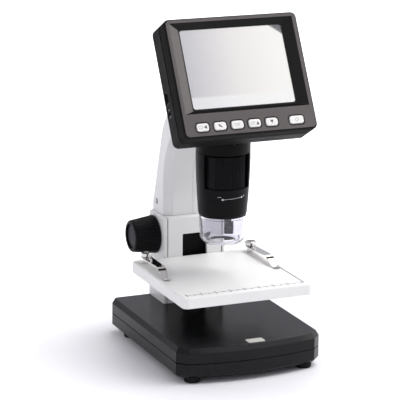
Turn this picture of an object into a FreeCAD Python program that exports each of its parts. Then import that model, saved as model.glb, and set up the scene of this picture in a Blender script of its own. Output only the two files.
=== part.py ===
import FreeCAD, Part
import math
import os

V = FreeCAD.Vector

# The object is a small bench microscope with a colour screen. It stands on the plane z = 0.
# x runs to the right, y to the back and z up, with the origin under the middle of the base.
# All lengths are in millimetres and all angles in degrees.

# Fits shared by every piece
running_gap = 0.05          # radial gap of a shaft in its bush
seat_gap = 0.1              # gap between casings that slide together
moving_gap = 0.3            # least gap between pieces that pass each other
cut_over = 1.0              # how far a cutting solid runs past a face
seam_gap = 0.16             # width of the seam between casing halves
round_share = 1 - math.sqrt(0.5)

# Screws
screw_radius = 1.25
screw_head_radius = 2.2
screw_head_high = 1.4
small_screw_radius = 0.8
small_head_radius = 1.5
small_head_high = 0.8

# Base
base_width = 100.0
base_depth = 128.0
base_bottom = 4.0
base_high = 19.3
base_bevel_in = 2.0
base_bevel_down = 3.3
base_parting_up = 9.2
base_groove = 0.6
base_wall = 2.2
base_roof = 2.4
base_floor = 2.2
base_lip = 1.1
base_tongue = 2.0
base_rear_radius = 4.0
base_corner_in = 6.0
base_corner_long = 6.5
base_bow = 5.7
base_lower_bevel = 1.5
base_boss_radius = 3.4
base_screw_in = 13.0        # from the sides of the base
base_screw_front = 27.0     # from the front of the base
base_screw_back = 36.0      # from the back of the base
foot_radius = 5.2
foot_sunk = 1.0
foot_round = 0.8
foot_front_in = 11.0
foot_back_in = 8.5
foot_front_y = 11.7         # from the front of the base
foot_back_y = 17.75
ballast_side = 16.4         # from the ballast to the sides of the base
ballast_front = 20.0
ballast_back = 34.0
ballast_thick = 5.0
ballast_corner = 3.0

# Column
column_half = 22.2
column_deep = 27.6
column_high = 59.4
column_wall = 2.1
column_corner = 1.5
column_bevel = 1.2
column_boss_radius = 3.4
column_boss_high = 9.0
column_screw_side = 15.0
column_screw_in = 6.4
column_cross_up = 12.7
cover_side_gap = 0.7
cover_thick = 2.0
cover_flange = 1.0
cover_tab_high = 6.0
cover_tab_deep = 1.6
cover_tab_shares = (0.12, 0.86)
cover_round = 0.7
slot_half = 8.9
slot_up = 1.7
slot_high = 45.6
slot_round = 0.5

# Guides
rod_radius = 2.5
rod_side = 12.0
rod_in = 17.8               # from the back of the column
rod_end_wall = 1.0
mount_thick = 5.0
mount_ahead = 4.0
mount_behind = 4.2
mount_side_gap = 2.4
mount_screw_side = 5.0
upper_mount_up = 0.7
upper_mount_ahead = 2.95
upper_mount_corner_in = 4.7
upper_mount_corner_back = 3.0
rack_way = 1.5

# Focus drive
shaft_radius = 2.5
shaft_in = 10.9
shaft_up = 44.6
shaft_bush_wall = 1.45
shaft_flange_wide = 1.4
shaft_flange_thick = 1.2
gear_module = 0.8
gear_teeth = 12
gear_width = 8.0
gear_pressure = 20.0
gear_tip_share = 0.85
gear_root_share = 1.1
gear_thinning = 0.1
gear_flank_steps = 4
rack_tip_share = 0.75
rack_root_share = 1.1
rack_thinning = 0.05
rack_spread = 0.1
rack_width = 7.0
rack_back_thick = 2.7
rack_long = 34.0
rack_drop = 17.9
knob_gap = 0.4
knob_left_long = 17.2
knob_right_long = 12.4
knob_inner_radius = 12.9
knob_taper = 0.122          # radius lost for each millimetre of length
knob_inner_round = 0.9
knob_outer_round = 1.6
knob_flutes = 36
knob_flute_deep = 0.45
knob_flute_wide = 1.1
knob_rim = 1.6
knob_cap_radius = 8.3
knob_cap_sunk = 0.9
knob_cap_thick = 1.3
knob_cap_crown = 0.5
knob_end_wall = 3.0

# Stage
stage_half = 45.1
stage_deep = 89.05          # from the notch to the front edge
stage_ear = 2.4             # how far the plate runs back beside the column
stage_up = 32.24
stage_thick = 7.44
stage_plate_thick = 2.6
stage_skirt = 2.4
stage_corner = 3.6
stage_edge = 1.0
stage_rib = 1.6
stage_ribs = 3
stage_pad_half = 16.0
stage_pad_long = 30.0
carriage_half = 17.5
carriage_ahead = 4.6
carriage_behind = 4.2
carriage_drop = 6.6
carriage_high = 26.6
bracket_half = 7.5
bracket_drop = 10.1
bracket_nose_drop = 3.6
bracket_flange_half = 14.0
bracket_flange_thick = 2.6
bracket_flange_front = 31.4  # from the column's front face
bracket_flange_back = 3.4
bracket_knee = 6.4
bracket_knee_drop = 8.1
stage_screw_side = 11.0
stage_screw_in = 3.5
bush_wall = 1.05
bush_long = 6.0
bore_relief = 0.4

# Clips
clip_side = 37.7
clip_in = 6.95              # from the notch of the plate
clip_post_radius = 2.3
clip_post_high = 3.4
clip_thick = 0.7
clip_wide = 7.0
clip_bend_wide = 5.2
clip_tip_wide = 4.8
clip_long = 44.5
clip_eye = 3.7
clip_curl = 1.3
clip_lift = 1.5             # how far the strip climbs before its bend
clip_bend_share = 0.67
clip_foot_share = 0.86
clip_heel_share = 0.93
clip_dimple_radius = 2.4
clip_dimple_deep = 0.3
clip_neck_radius = 2.5
clip_neck_high = 0.6
clip_head_radius = 3.7
clip_head_high = 2.7
clip_head_bevel = 0.35
clip_screw_radius = 1.2
clip_hollow_radius = 2.2
clip_hollow_deep = 0.9
clip_screw_deep = 2.6
clip_left_out = 3.2         # how far the left strip is turned outward

# Barrel
barrel_reach = 72.45        # from the back of the column to the barrel's axis
barrel_high = 49.3
barrel_radius = 17.7
barrel_mid_radius = 17.05
barrel_low_radius = 15.8
barrel_mouth_radius = 14.95
barrel_low_round = 1.6
barrel_mid_share = 0.38
barrel_full_share = 0.75
shell_inner_radius = 15.9
cup_seat_radius = 13.9
collar_high = 7.4
collar_groove = 0.35
collar_wall = 2.1
collar_roof = 2.1
spigot_radius = 13.5
spigot_high = 4.9
spigot_wall = 1.6
window_left = -67.0
window_right = 50.0
window_drop = 22.4
core_radius = 10.0
core_bore_radius = 8.6
core_flange_radius = 16.4
core_flange_thick = 1.5
core_up = 2.6
ring_radius = 15.0
ring_high = 20.8
ring_top_gap = 1.1
ledge_gap = 0.2
pad_rise = 1.85
pad_left = -55.0
pad_smooth = 15.0
pad_right = 31.0
pad_ribs = 17
pad_rib_deep = 0.55
pad_rib_share = 0.45
carrier_up = 4.8
carrier_high = 12.0
carrier_nose_radius = 6.3
carrier_nose_long = 6.0
carrier_bore_radius = 5.0
lens_thick = 1.6
lens_crown = 0.8
lens_sunk = 1.0
lens_stop = 0.8
led_board_thick = 1.2
led_board_hole = 7.0
led_count = 8
led_radius = 1.2
led_long = 2.2
led_circle = 9.9
sensor_board_radius = 11.0
sensor_board_thick = 1.2
sensor_chip_half = 4.0
sensor_chip_high = 1.6

# Clear cup
cup_high = 18.9
cup_top_radius = 15.4
cup_bottom_radius = 14.6
cup_wall = 1.8
cup_round = 5.0
cup_hole_radius = 8.5
cup_neck_high = 3.4

# Arm
arm_half = 20.0
arm_wall = 2.2
arm_cover_gap = 2.55        # from the back of the front cover to the arm
arm_back_in = 0.5
arm_facet_wide = 6.0
arm_facet_deep = 3.1
arm_edge = 1.6
arm_bend_up = 21.3
arm_bend_radius = 57.0
arm_bend_angle = 27.1
arm_nose_up = 61.8
arm_nose_high = 16.5
arm_nose_front_high = 4.5
arm_ledge_high = 6.5
arm_slope_top = 4.35
arm_crown_radius = 34.0
arm_lean = 16.4
arm_heel_up = 5.3
arm_tongue_gap = 1.7
arm_tongue_long = 8.2
arm_tongue_deep = 10.3
arm_widen_from = 16.45
arm_widen_long = 20.0
arm_hollow_from = 3.0
arm_boss_radius = 3.4
arm_screw_in = 9.0
arm_screw_up = 7.3
arm_high_screw_y = 35.45
arm_high_screw_drop = 9.0
side_head_radius = 1.9
side_hole_radius = 2.05
side_hole_deep = 3.2
cable_half = 3.0
cable_high = 4.0

# Hinge of the screen unit
hinge_rise = 0.16
hinge_off = 4.0             # from the nose's slope to the pin
hinge_back = 5.0            # from the rear cover to the pin
hinge_low = 16.4            # from the middle of the face down to the pin
hinge_pin_radius = 1.5
hinge_knuckle_wall = 1.5
hinge_pin_head_radius = 2.3
hinge_pin_head = 1.0
hinge_half = 17.0
hinge_bracket_half = 9.0
hinge_side_gap = 0.4
hinge_leaf_thick = 1.5
hinge_leaf_low = 7.0
hinge_leaf_high = 6.0
hinge_plate_long = 11.0
hinge_screw_side = 5.5
hinge_screw_low = 7.3
hinge_screw_long = 6.0

# Screen unit, in its own frame: u to the right, v up the face and d out of the face
head_tilt = 28.63
head_half_width = 45.6
head_half_high = 39.0
head_thick = 25.5
head_corner = 3.8
head_edge = 1.2
head_wall = 2.0
bezel_deep = 9.0
head_groove = 0.9
head_groove_in = 0.8
head_lip = 1.1
head_lip_high = 1.6
head_bevel_side = 4.0
head_bevel_low = 1.0
head_bevel_high = 1.0
head_bevel_deep = 4.0
screen_side = 10.25         # from the edges of the face to the opening
screen_top = 6.86
screen_low = 18.19
screen_u = -0.3
screen_deep = 2.75
recess_side = 3.35
recess_top = 2.9
recess_low = 15.65
face_thick = 2.0
window_margin = 1.2
window_thick = 1.0
panel_margin = 1.6
panel_thick = 3.2
button_low = 6.65
button_first = 12.9
button_count = 5
button_land = 3.6          # between two buttons
button_high = 5.1
button_round = 1.7
button_proud = 0.7
button_travel = 0.6
button_edge = 0.35
button_gap = 0.6
button_flange = 1.0
button_flange_thick = 0.8
button_stem = 1.4
button_stem_long = 0.45
power_in = 14.2
power_step = 17.22          # from the last button to the power button
power_wide = 9.6
keypad_gap = 0.15
keypad_thick = 1.2
keypad_end = 7.8
keypad_half_high = 3.7
keypad_rib = 1.0
dome_high = 1.1
dome_radius = 1.8
board_thick = 1.4
board_side = 5.0
board_low = 11.0
board_high = 8.0
board_post_radius = 2.0
board_post_in = 7.0
battery_side = 18.0
battery_low = 14.0
battery_high = 20.0
battery_thick = 6.2
battery_round = 2.0
socket_gap = 8.2            # from the rear cover's inner face to the main board
data_socket_low = 7.0
data_socket_wide = 7.6
data_socket_high = 4.2
video_socket_low = 16.8
video_socket_wide = 6.2
video_socket_high = 5.2
video_hole_radius = 1.8
socket_long = 9.0
socket_sill = 0.5
socket_wall = 0.6
socket_deep = 6.0
case_screw_side = 3.8
case_screw_end = 4.0
case_boss_radius = 2.4
case_screw_sunk = 2.6

# Places worked out from the sizes above
base_top = base_bottom + base_high
base_parting = base_bottom + base_parting_up
knob_overhang = knob_inner_radius - shaft_in
base_back_y = (base_depth - knob_overhang) / 2
base_front_y = base_back_y - base_depth
column_back = base_back_y
column_front = column_back - column_deep
column_top = base_top + column_high
column_inner = column_half - column_wall
cover_half = column_inner - cover_side_gap
cover_back = column_front + cover_thick
rod_y = column_back - rod_in
shaft_y = column_back - shaft_in
shaft_z = base_top + shaft_up
shaft_bush_radius = shaft_radius + running_gap + shaft_bush_wall
pitch_radius = gear_module * gear_teeth / 2
gear_pitch = math.pi * gear_module
rack_line = shaft_y - pitch_radius - rack_spread
rack_bottom = shaft_z - rack_drop
stage_top = base_top + stage_up
stage_bottom = stage_top - stage_thick
stage_notch = column_front - moving_gap
stage_front = stage_notch - stage_deep
clip_y = stage_notch - clip_in
carriage_front = rod_y - carriage_ahead
carriage_back = rod_y + carriage_behind
carriage_bottom = stage_bottom - carriage_drop
carriage_top = carriage_bottom + carriage_high
bush_radius = rod_radius + running_gap + bush_wall
knob_start = column_half + knob_gap
arm_front = cover_back + arm_cover_gap
arm_back = column_back - arm_back_in
arm_inner = arm_half - arm_wall
barrel_y = column_back - barrel_reach
barrel_top = column_top + arm_nose_up
barrel_bottom = barrel_top - barrel_high
collar_bottom = barrel_top - collar_high
window_bottom = collar_bottom - window_drop
ring_top = collar_bottom - ring_top_gap
ring_bottom = ring_top - ring_high
core_bottom = barrel_bottom + core_up
led_board_bottom = core_bottom - led_board_thick
cup_bottom = barrel_bottom - cup_high
cup_neck_radius = cup_seat_radius - running_gap
led_board_radius = cup_neck_radius - cup_wall - running_gap
carrier_bottom = barrel_bottom + carrier_up
arm_top = barrel_top + arm_nose_high
tilt = math.radians(head_tilt)
face_up = V(0, math.sin(tilt), math.cos(tilt))
face_out = V(0, -math.cos(tilt), math.sin(tilt))
slope_top = V(0, barrel_y - arm_slope_top, arm_top)
hollow_front = barrel_y + spigot_radius + arm_hollow_from
hinge_point = slope_top + face_out * hinge_off + face_up * hinge_rise
hinge_d = -head_thick - hinge_back
slope_d = hinge_d - hinge_off
hinge_radius = hinge_pin_radius + hinge_knuckle_wall
head_middle = hinge_point + face_up * hinge_low - face_out * hinge_d
head_turn = FreeCAD.Rotation(V(1, 0, 0), 90 - head_tilt)
head_place = FreeCAD.Placement(head_middle, head_turn).toMatrix()
screen_half_width = head_half_width - screen_side
screen_half_high = head_half_high - (screen_top + screen_low) / 2
screen_v = (screen_low - screen_top) / 2
button_v = -head_half_high + button_low
button_row = 2 * head_half_width - button_first - power_in - power_step
button_pitch = button_row / (button_count - 1)
button_wide = button_pitch - button_land
button_places = [-head_half_width + button_first + button_pitch * step for step in range(button_count)]
power_u = head_half_width - power_in
flange_top = -face_thick - seat_gap
flange_bottom = flange_top - button_flange_thick
dome_top = flange_bottom - button_stem_long - button_travel - keypad_gap
keypad_top = dome_top - dome_high
rear_floor = -head_thick + head_wall
board_back = rear_floor + socket_gap


def box(x0, x1, y0, y1, z0, z1):
    return Part.makeBox(x1 - x0, y1 - y0, z1 - z0, V(x0, y0, z0))


def rod(radius, start, end):
    reach = V(*end) - V(*start)
    return Part.makeCylinder(radius, reach.Length, V(*start), reach)


def flat_wire(steps, place):
    """A closed outline. A step is a point, or the end and a middle point of an arc."""
    edges = []
    here = place(steps[0][0], steps[0][1])
    first = here
    for step in steps[1:]:
        end = place(step[0], step[1])
        if len(step) == 4:
            edges.append(Part.Arc(here, place(step[2], step[3]), end).toShape())
        else:
            edges.append(Part.makeLine(here, end))
        here = end
    if not here.isEqual(first, running_gap / 100):
        edges.append(Part.makeLine(here, first))
    return Part.Wire(edges)


def at_z(z):
    return lambda x, y: V(x, y, z)


def at_x(x):
    return lambda y, z: V(x, y, z)


def slab(steps, place, reach):
    return Part.Face(flat_wire(steps, place)).extrude(reach)


def rounded_steps(x0, x1, y0, y1, radius):
    """A rectangle with round corners, as the steps of an outline."""
    inner = radius * round_share
    return [
        (x0 + radius, y0),
        (x1 - radius, y0),
        (x1, y0 + radius, x1 - inner, y0 + inner),
        (x1, y1 - radius),
        (x1 - radius, y1, x1 - inner, y1 - inner),
        (x0 + radius, y1),
        (x0, y1 - radius, x0 + inner, y1 - inner),
        (x0, y0 + radius),
        (x0 + radius, y0, x0 + inner, y0 + inner),
    ]


def rounded_block(x0, x1, y0, y1, z0, z1, radius):
    return slab(rounded_steps(x0, x1, y0, y1, radius), at_z(z0), V(0, 0, z1 - z0))


def crowned_block(x0, x1, y0, y1, z0, z1, radius, edge):
    """A block with round corners, its upper rim rounded by two narrow strips."""
    near = edge * round_share
    wires = []
    for inset, drop in ((0, edge), (near, near), (edge, 0)):
        steps = rounded_steps(x0 + inset, x1 - inset, y0 + inset, y1 - inset, radius - inset)
        wires.append(flat_wire(steps, at_z(z1 - drop)))
    return rounded_block(x0, x1, y0, y1, z0, z1 - edge, radius).fuse(loft(wires)).removeSplitter()


def turned(steps, centre, axis):
    """Turns an outline of (radius, place along the axis) about the axis."""
    side = V(0, 1, 0) if axis.x else V(1, 0, 0)
    face = Part.Face(flat_wire(steps, lambda radius, along: centre + side * radius + axis * along))
    return solid_of(face.revolve(centre, axis, 360))


def solid_of(shape):
    """The shape with its faces looking outward."""
    if shape.Volume < 0:
        shape.reverse()
    return shape


def dome_drop(radius, rise, reach):
    """How far a dome of that radius and rise has fallen at the reach from its middle."""
    ball = (radius * radius + rise * rise) / 2 / rise
    return ball - math.sqrt(ball * ball - reach * reach)


def loft(wires):
    return solid_of(Part.makeLoft(wires, True, True))


def joined(shapes):
    return shapes[0].fuse(shapes[1:]).removeSplitter()


def half_space(side):
    """Everything on one side of the middle plane, less half of the seam."""
    near = side * seam_gap / 2
    far = side * base_depth
    return box(min(near, far), max(near, far), -base_depth, base_depth, -base_depth, 2 * base_depth)


def screw(start, direction, long, radius, head_radius, head_high):
    """A screw whose head begins at the start and whose shank runs along the direction."""
    head = Part.makeCylinder(head_radius, head_high, start, direction)
    shank = Part.makeCylinder(radius, head_high + long, start, direction)
    return head.fuse(shank).removeSplitter()


def inset_corners(corners, inset):
    """Corners of an outline that runs counter-clockwise, moved inward by one distance."""
    moved = []
    for index, corner in enumerate(corners):
        here = V(*corner, 0)
        into = (here - V(*corners[index - 1], 0)).normalize()
        out = (V(*corners[(index + 1) % len(corners)], 0) - here).normalize()
        left_in = V(-into.y, into.x, 0)
        left_out = V(-out.y, out.x, 0)
        shift = (left_in + left_out) * (inset / (1 + left_in.dot(left_out)))
        moved.append((here.x + shift.x, here.y + shift.y))
    return moved


# The base

def base_wire(inset, z):
    """Outline of the base: bowed front, cut front corners and round rear corners."""
    half = base_width / 2
    front = base_front_y + base_bow
    corners = inset_corners([
        (-half, base_back_y),
        (-half, front + base_corner_long),
        (-half + base_corner_in, front),
        (half - base_corner_in, front),
        (half, front + base_corner_long),
        (half, base_back_y),
    ], inset)
    (left, back), low_left, front_left, front_right, low_right, (right, _) = corners
    radius = max(base_rear_radius - inset, running_gap)
    inner = radius * round_share
    steps = [
        (left, back - radius),
        low_left,
        front_left,
        (front_right[0], front_right[1], 0, base_front_y + inset),
        low_right,
        (right, back - radius),
        (right - radius, back, right - inner, back - inner),
        (left + radius, back),
        (left, back - radius, left + inner, back - inner),
    ]
    return flat_wire(steps, at_z(z))


def base_block(inset, z0, z1):
    return Part.Face(base_wire(inset, z0)).extrude(V(0, 0, z1 - z0))


def base_screw_places():
    side = base_width / 2 - base_screw_in
    rows = (base_front_y + base_screw_front, base_back_y - base_screw_back)
    return [(x, y) for x in (-side, side) for y in rows]


def foot_places():
    front = base_width / 2 - foot_front_in
    back = base_width / 2 - foot_back_in
    front_y = base_front_y + foot_front_y
    back_y = base_back_y - foot_back_y
    return [(-front, front_y), (front, front_y), (-back, back_y), (back, back_y)]


def column_screw_places():
    back = column_back - column_screw_in
    return [(-column_screw_side, back), (column_screw_side, back),
            (-mount_screw_side, rod_y), (mount_screw_side, rod_y)]


def base_upper_shell():
    edge = base_parting + base_groove / 2
    bevel_z = base_top - base_bevel_down
    roof = base_top - base_roof
    floor = base_bottom + base_floor
    body = base_block(0, edge, bevel_z)
    body = body.fuse(loft([base_wire(0, bevel_z), base_wire(base_bevel_in, base_top)]))
    body = body.cut(base_block(base_wall, edge - cut_over, bevel_z))
    body = body.cut(loft([base_wire(base_wall, bevel_z), base_wire(base_wall + base_bevel_in, roof)]))
    tongue_top = base_parting - base_groove / 2 + base_tongue + seat_gap
    body = body.cut(base_block(base_lip, edge - cut_over, tongue_top))
    for x, y in base_screw_places():
        body = body.fuse(rod(base_boss_radius, (x, y, floor), (x, y, roof)))
        body = body.cut(rod(screw_radius, (x, y, floor - cut_over), (x, y, roof - base_wall)))
    for x, y in column_screw_places():
        body = body.cut(rod(screw_radius, (x, y, roof - cut_over), (x, y, base_top + cut_over)))
    return body.removeSplitter()


def base_lower_shell():
    edge = base_parting - base_groove / 2
    low = base_bottom + base_lower_bevel
    floor = base_bottom + base_floor
    rim = edge + base_tongue
    body = loft([base_wire(base_lower_bevel, base_bottom), base_wire(0, low)])
    body = body.fuse(base_block(0, low, edge))
    body = body.fuse(base_block(base_lip + seat_gap, edge - cut_over, rim))
    body = body.cut(base_block(base_wall, floor, rim + cut_over))
    for x, y in foot_places():
        body = body.cut(rod(foot_radius, (x, y, base_bottom - cut_over), (x, y, base_bottom + foot_sunk)))
    for x, y in base_screw_places():
        below = (x, y, base_bottom - cut_over)
        body = body.cut(rod(screw_radius, below, (x, y, floor + cut_over)))
        body = body.cut(rod(screw_head_radius, below, (x, y, base_bottom + screw_head_high)))
    return body.removeSplitter()


def ballast_plate():
    floor = base_bottom + base_floor
    half = base_width / 2 - ballast_side
    return rounded_block(-half, half, base_front_y + ballast_front, base_back_y - ballast_back,
                         floor, floor + ballast_thick, ballast_corner)


def rubber_feet():
    top = base_bottom + foot_sunk
    inner = foot_round * round_share
    steps = [
        (0, 0),
        (foot_radius - foot_round, 0),
        (foot_radius, foot_round, foot_radius - inner, inner),
        (foot_radius, top),
        (0, top),
    ]
    return Part.makeCompound([turned(steps, V(x, y, 0), V(0, 0, 1)) for x, y in foot_places()])


def base_screws():
    long = base_high - base_roof - base_wall - screw_head_high - seat_gap
    return Part.makeCompound([
        screw(V(x, y, base_bottom), V(0, 0, 1), long, screw_radius, screw_head_radius, screw_head_high)
        for x, y in base_screw_places()])


# The column

def column_screws():
    shapes = []
    for x, y in column_screw_places():
        deep = column_boss_high if y > rod_y else mount_thick
        start = V(x, y, base_top - base_roof - screw_head_high)
        shapes.append(screw(start, V(0, 0, 1), base_roof + deep - cut_over,
                            screw_radius, screw_head_radius, screw_head_high))
    return Part.makeCompound(shapes)


def side_screw_hole(half, y, z):
    """A sunk hole in the left face and a pilot hole that runs on into the right half."""
    sunk = rod(side_hole_radius, (-half - cut_over, y, z), (-half + side_hole_deep, y, z))
    return sunk.fuse(rod(screw_radius, (-half, y, z), (half / 2, y, z)))


def side_screw(half, y, z):
    start = V(-half + side_hole_deep - screw_head_high, y, z)
    long = half / 2 + half - side_hole_deep - cut_over
    return screw(start, V(1, 0, 0), long, screw_radius, side_head_radius, screw_head_high)


def cross_screw_places():
    """Half width, y and z of each screw that runs across the column or the arm."""
    high_z = arm_top - arm_high_screw_drop
    return [
        (column_half, column_back - column_screw_in, base_top + column_cross_up),
        (arm_half, column_back - arm_screw_in, column_top + arm_screw_up),
        (arm_half, barrel_y + arm_high_screw_y, high_z),
    ]


def column_block():
    """Both halves of the lower block together, open in front, above and below."""
    wide = column_half
    bevel_z = column_top - column_bevel
    full = rounded_steps(-wide, wide, column_front, column_back, column_corner)
    small = rounded_steps(-wide + column_bevel, wide - column_bevel, column_front + column_bevel,
                          column_back - column_bevel, column_corner)
    body = slab(full, at_z(base_top), V(0, 0, column_high - column_bevel))
    body = body.fuse(loft([flat_wire(full, at_z(bevel_z)), flat_wire(small, at_z(column_top))]))
    inner_back = column_back - column_wall
    body = body.cut(box(-column_inner, column_inner, column_front - cut_over, inner_back,
                        base_top - cut_over, column_top + cut_over))
    boss_y = column_back - column_screw_in
    boss_top = base_top + column_boss_high
    for x in (-column_screw_side, column_screw_side):
        body = body.fuse(rod(column_boss_radius, (x, boss_y, base_top), (x, boss_y, boss_top)))
        body = body.fuse(box(x - column_wall / 2, x + column_wall / 2, boss_y, inner_back,
                             base_top, boss_top))
        body = body.cut(rod(screw_radius, (x, boss_y, base_top - cut_over),
                            (x, boss_y, boss_top - cut_over / 2)))
    half, y, z = cross_screw_places()[0]
    body = body.fuse(rod(arm_boss_radius, (-column_inner, y, z), (column_inner, y, z)))
    body = body.fuse(box(-column_inner, column_inner, y, inner_back,
                         z - column_wall / 2, z + column_wall / 2))
    body = body.cut(side_screw_hole(half, y, z))
    return body.cut(rod(shaft_bush_radius, (-half - cut_over, shaft_y, shaft_z),
                        (half + cut_over, shaft_y, shaft_z)))


def column_left_shell():
    return column_block().common(half_space(-1)).removeSplitter()


def column_right_shell():
    return column_block().common(half_space(1)).removeSplitter()


def facet_y(x):
    """How far the arm's front lies behind its middle at a distance x from the middle plane."""
    return max(0, arm_facet_deep * (x - arm_half + arm_facet_wide) / arm_facet_wide)


def column_front_cover():
    inner = cover_round * round_share
    plan = [
        (-cover_half, cover_back),
        (-cover_half, column_front + cover_round),
        (-cover_half + cover_round, column_front, -cover_half + inner, column_front + inner),
        (cover_half - cover_round, column_front),
        (cover_half, column_front + cover_round, cover_half - inner, column_front + inner),
        (cover_half, cover_back),
    ]
    body = slab(plan, at_z(base_top), V(0, 0, column_high))
    shelf_back = arm_front - seat_gap
    facet_x = arm_half - arm_facet_wide
    shelf = [
        (-cover_half, cover_back - cover_thick / 2),
        (cover_half, cover_back - cover_thick / 2),
        (cover_half, shelf_back + facet_y(cover_half)),
        (facet_x, shelf_back),
        (-facet_x, shelf_back),
        (-cover_half, shelf_back + facet_y(cover_half)),
    ]
    body = body.fuse(slab(shelf, at_z(column_top - cover_thick), V(0, 0, cover_thick)))
    for side in (-1, 1):
        edges = sorted((side * cover_half, side * (cover_half - cover_flange)))
        body = body.fuse(box(*edges, cover_back - cover_thick / 2, shelf_back, base_top, column_top))
        edges = sorted((side * (cover_half - cover_flange), side * column_inner))
        for share in cover_tab_shares:
            z = base_top + column_high * share
            body = body.fuse(box(*edges, shelf_back - cover_tab_deep, shelf_back,
                                 z - cover_tab_high / 2, z + cover_tab_high / 2))
    slot_bottom = base_top + slot_up
    slot = slab(rounded_steps(-slot_half, slot_half, slot_bottom, slot_bottom + slot_high, slot_round),
                lambda x, z: V(x, column_front - cut_over, z), V(0, cover_thick + 2 * cut_over, 0))
    rim = [
        (column_front - cut_over, column_top - column_bevel - cut_over),
        (column_front + column_bevel + cut_over, column_top + cut_over),
        (column_front - cut_over, column_top + cut_over),
    ]
    rim_cut = slab(rim, at_x(-column_half), V(2 * column_half, 0, 0))
    return body.cut(slot).cut(rim_cut).removeSplitter()


# The guides and the focus drive

def guide_rods():
    bottom = base_top + rod_end_wall
    top = column_top + upper_mount_up + mount_thick - rod_end_wall
    return Part.makeCompound([rod(rod_radius, (x, rod_y, bottom), (x, rod_y, top))
                              for x in (-rod_side, rod_side)])


def guide_mounts():
    half = column_inner - mount_side_gap
    back = rod_y + mount_behind
    lower = box(-half, half, rod_y - mount_ahead, back, base_top, base_top + mount_thick)
    for x in (-mount_screw_side, mount_screw_side):
        lower = lower.cut(rod(screw_radius, (x, rod_y, base_top - cut_over),
                              (x, rod_y, base_top + mount_thick - cut_over / 2)))
    bottom = column_top + upper_mount_up
    front = rod_y - upper_mount_ahead
    plan = [
        (-arm_inner, back),
        (-arm_inner, front + upper_mount_corner_back),
        (-arm_inner + upper_mount_corner_in, front),
        (arm_inner - upper_mount_corner_in, front),
        (arm_inner, front + upper_mount_corner_back),
        (arm_inner, back),
    ]
    upper = slab(plan, at_z(bottom), V(0, 0, mount_thick))
    way = rack_width / 2 + rack_way
    root = rack_line - rack_root_share * gear_module
    upper = upper.cut(box(-way, way, root - rack_back_thick - moving_gap, back + cut_over,
                          bottom - cut_over, bottom + mount_thick + cut_over))
    rods = guide_rods()
    return Part.makeCompound([lower.cut(rods).Solids[0]] + upper.cut(rods).Solids)


def shaft_bushes():
    shapes = []
    for side in (-1, 1):
        flange = rod(shaft_bush_radius + shaft_flange_wide,
                     (side * (column_inner - shaft_flange_thick), shaft_y, shaft_z),
                     (side * column_inner, shaft_y, shaft_z))
        neck = rod(shaft_bush_radius, (side * (column_inner - shaft_flange_thick), shaft_y, shaft_z),
                   (side * column_half, shaft_y, shaft_z))
        bore = rod(shaft_radius + running_gap, (0, shaft_y, shaft_z),
                   (side * (column_half + cut_over), shaft_y, shaft_z))
        shapes.append(flange.fuse(neck).cut(bore).removeSplitter())
    return Part.makeCompound(shapes)


def knob_long(side):
    return knob_left_long if side < 0 else knob_right_long


def focus_shaft():
    ends = [(side * (knob_start + knob_long(side) - knob_end_wall), shaft_y, shaft_z)
            for side in (-1, 1)]
    return rod(shaft_radius, *ends)


def focus_pinion():
    """A pinion with involute flanks; one gap between its teeth faces the rack."""
    pressure = math.radians(gear_pressure)
    base_radius = pitch_radius * math.cos(pressure)
    tip = pitch_radius + gear_tip_share * gear_module
    root = pitch_radius - gear_root_share * gear_module
    half_tooth = (gear_pitch / 2 - gear_thinning) / 2 / pitch_radius

    def half_angle(radius):
        slant = math.acos(min(1, base_radius / radius))
        return half_tooth + math.tan(pressure) - pressure - math.tan(slant) + slant

    radii = [root]
    radii += [base_radius + (tip - base_radius) * step / gear_flank_steps
              for step in range(gear_flank_steps + 1)]
    steps = []
    for tooth in range(gear_teeth):
        middle = 2 * math.pi * (tooth + 0.5) / gear_teeth
        flank = [(radius, half_angle(max(radius, base_radius))) for radius in radii]
        turns = [(radius, middle - angle) for radius, angle in flank]
        turns += [(radius, middle + angle) for radius, angle in reversed(flank)]
        steps += [(shaft_y - radius * math.cos(turn), shaft_z + radius * math.sin(turn))
                  for radius, turn in turns]
    body = slab(steps, at_x(-gear_width / 2), V(gear_width, 0, 0))
    return body.cut(rod(shaft_radius, (-gear_width, shaft_y, shaft_z), (gear_width, shaft_y, shaft_z)))


def stage_rack():
    slant = math.tan(math.radians(gear_pressure))
    root = rack_line - rack_root_share * gear_module
    tip = rack_line + rack_tip_share * gear_module
    half = gear_pitch / 4 - rack_thinning
    root_half = half + (rack_line - root) * slant
    tip_half = half - (tip - rack_line) * slant
    top = rack_bottom + rack_long
    first = math.ceil((rack_bottom + root_half - shaft_z) / gear_pitch)
    last = math.floor((top - root_half - shaft_z) / gear_pitch)
    steps = [(root - rack_back_thick, rack_bottom), (root, rack_bottom)]
    for tooth in range(first, last + 1):
        z = shaft_z + tooth * gear_pitch
        steps += [(root, z - root_half), (tip, z - tip_half), (tip, z + tip_half), (root, z + root_half)]
    steps += [(root, top), (root - rack_back_thick, top)]
    return slab(steps, at_x(-rack_width / 2), V(rack_width, 0, 0))


def knob_flute_cutters(side):
    """Flat-sided cutters that follow the knob's slant from its rim to past its end."""
    radius = knob_inner_radius - knob_taper * knob_rim
    wide = knob_flute_wide / 2
    low = radius - knob_flute_deep
    high = radius + knob_flute_deep
    section = [(low, -wide / 2), (low, wide / 2), (high, wide * 3 / 2), (high, -wide * 3 / 2)]
    start = side * (knob_start + knob_rim)
    steps = [(shaft_y + across, shaft_z + reach) for reach, across in section]
    run = knob_long(side) - knob_rim + cut_over
    first = slab(steps, at_x(start), V(side * run, 0, -knob_taper * run))
    cutters = []
    for flute in range(knob_flutes):
        cutter = first.copy()
        cutter.rotate(V(start, shaft_y, shaft_z), V(1, 0, 0), 360 * flute / knob_flutes)
        cutters.append(cutter)
    return cutters


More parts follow.
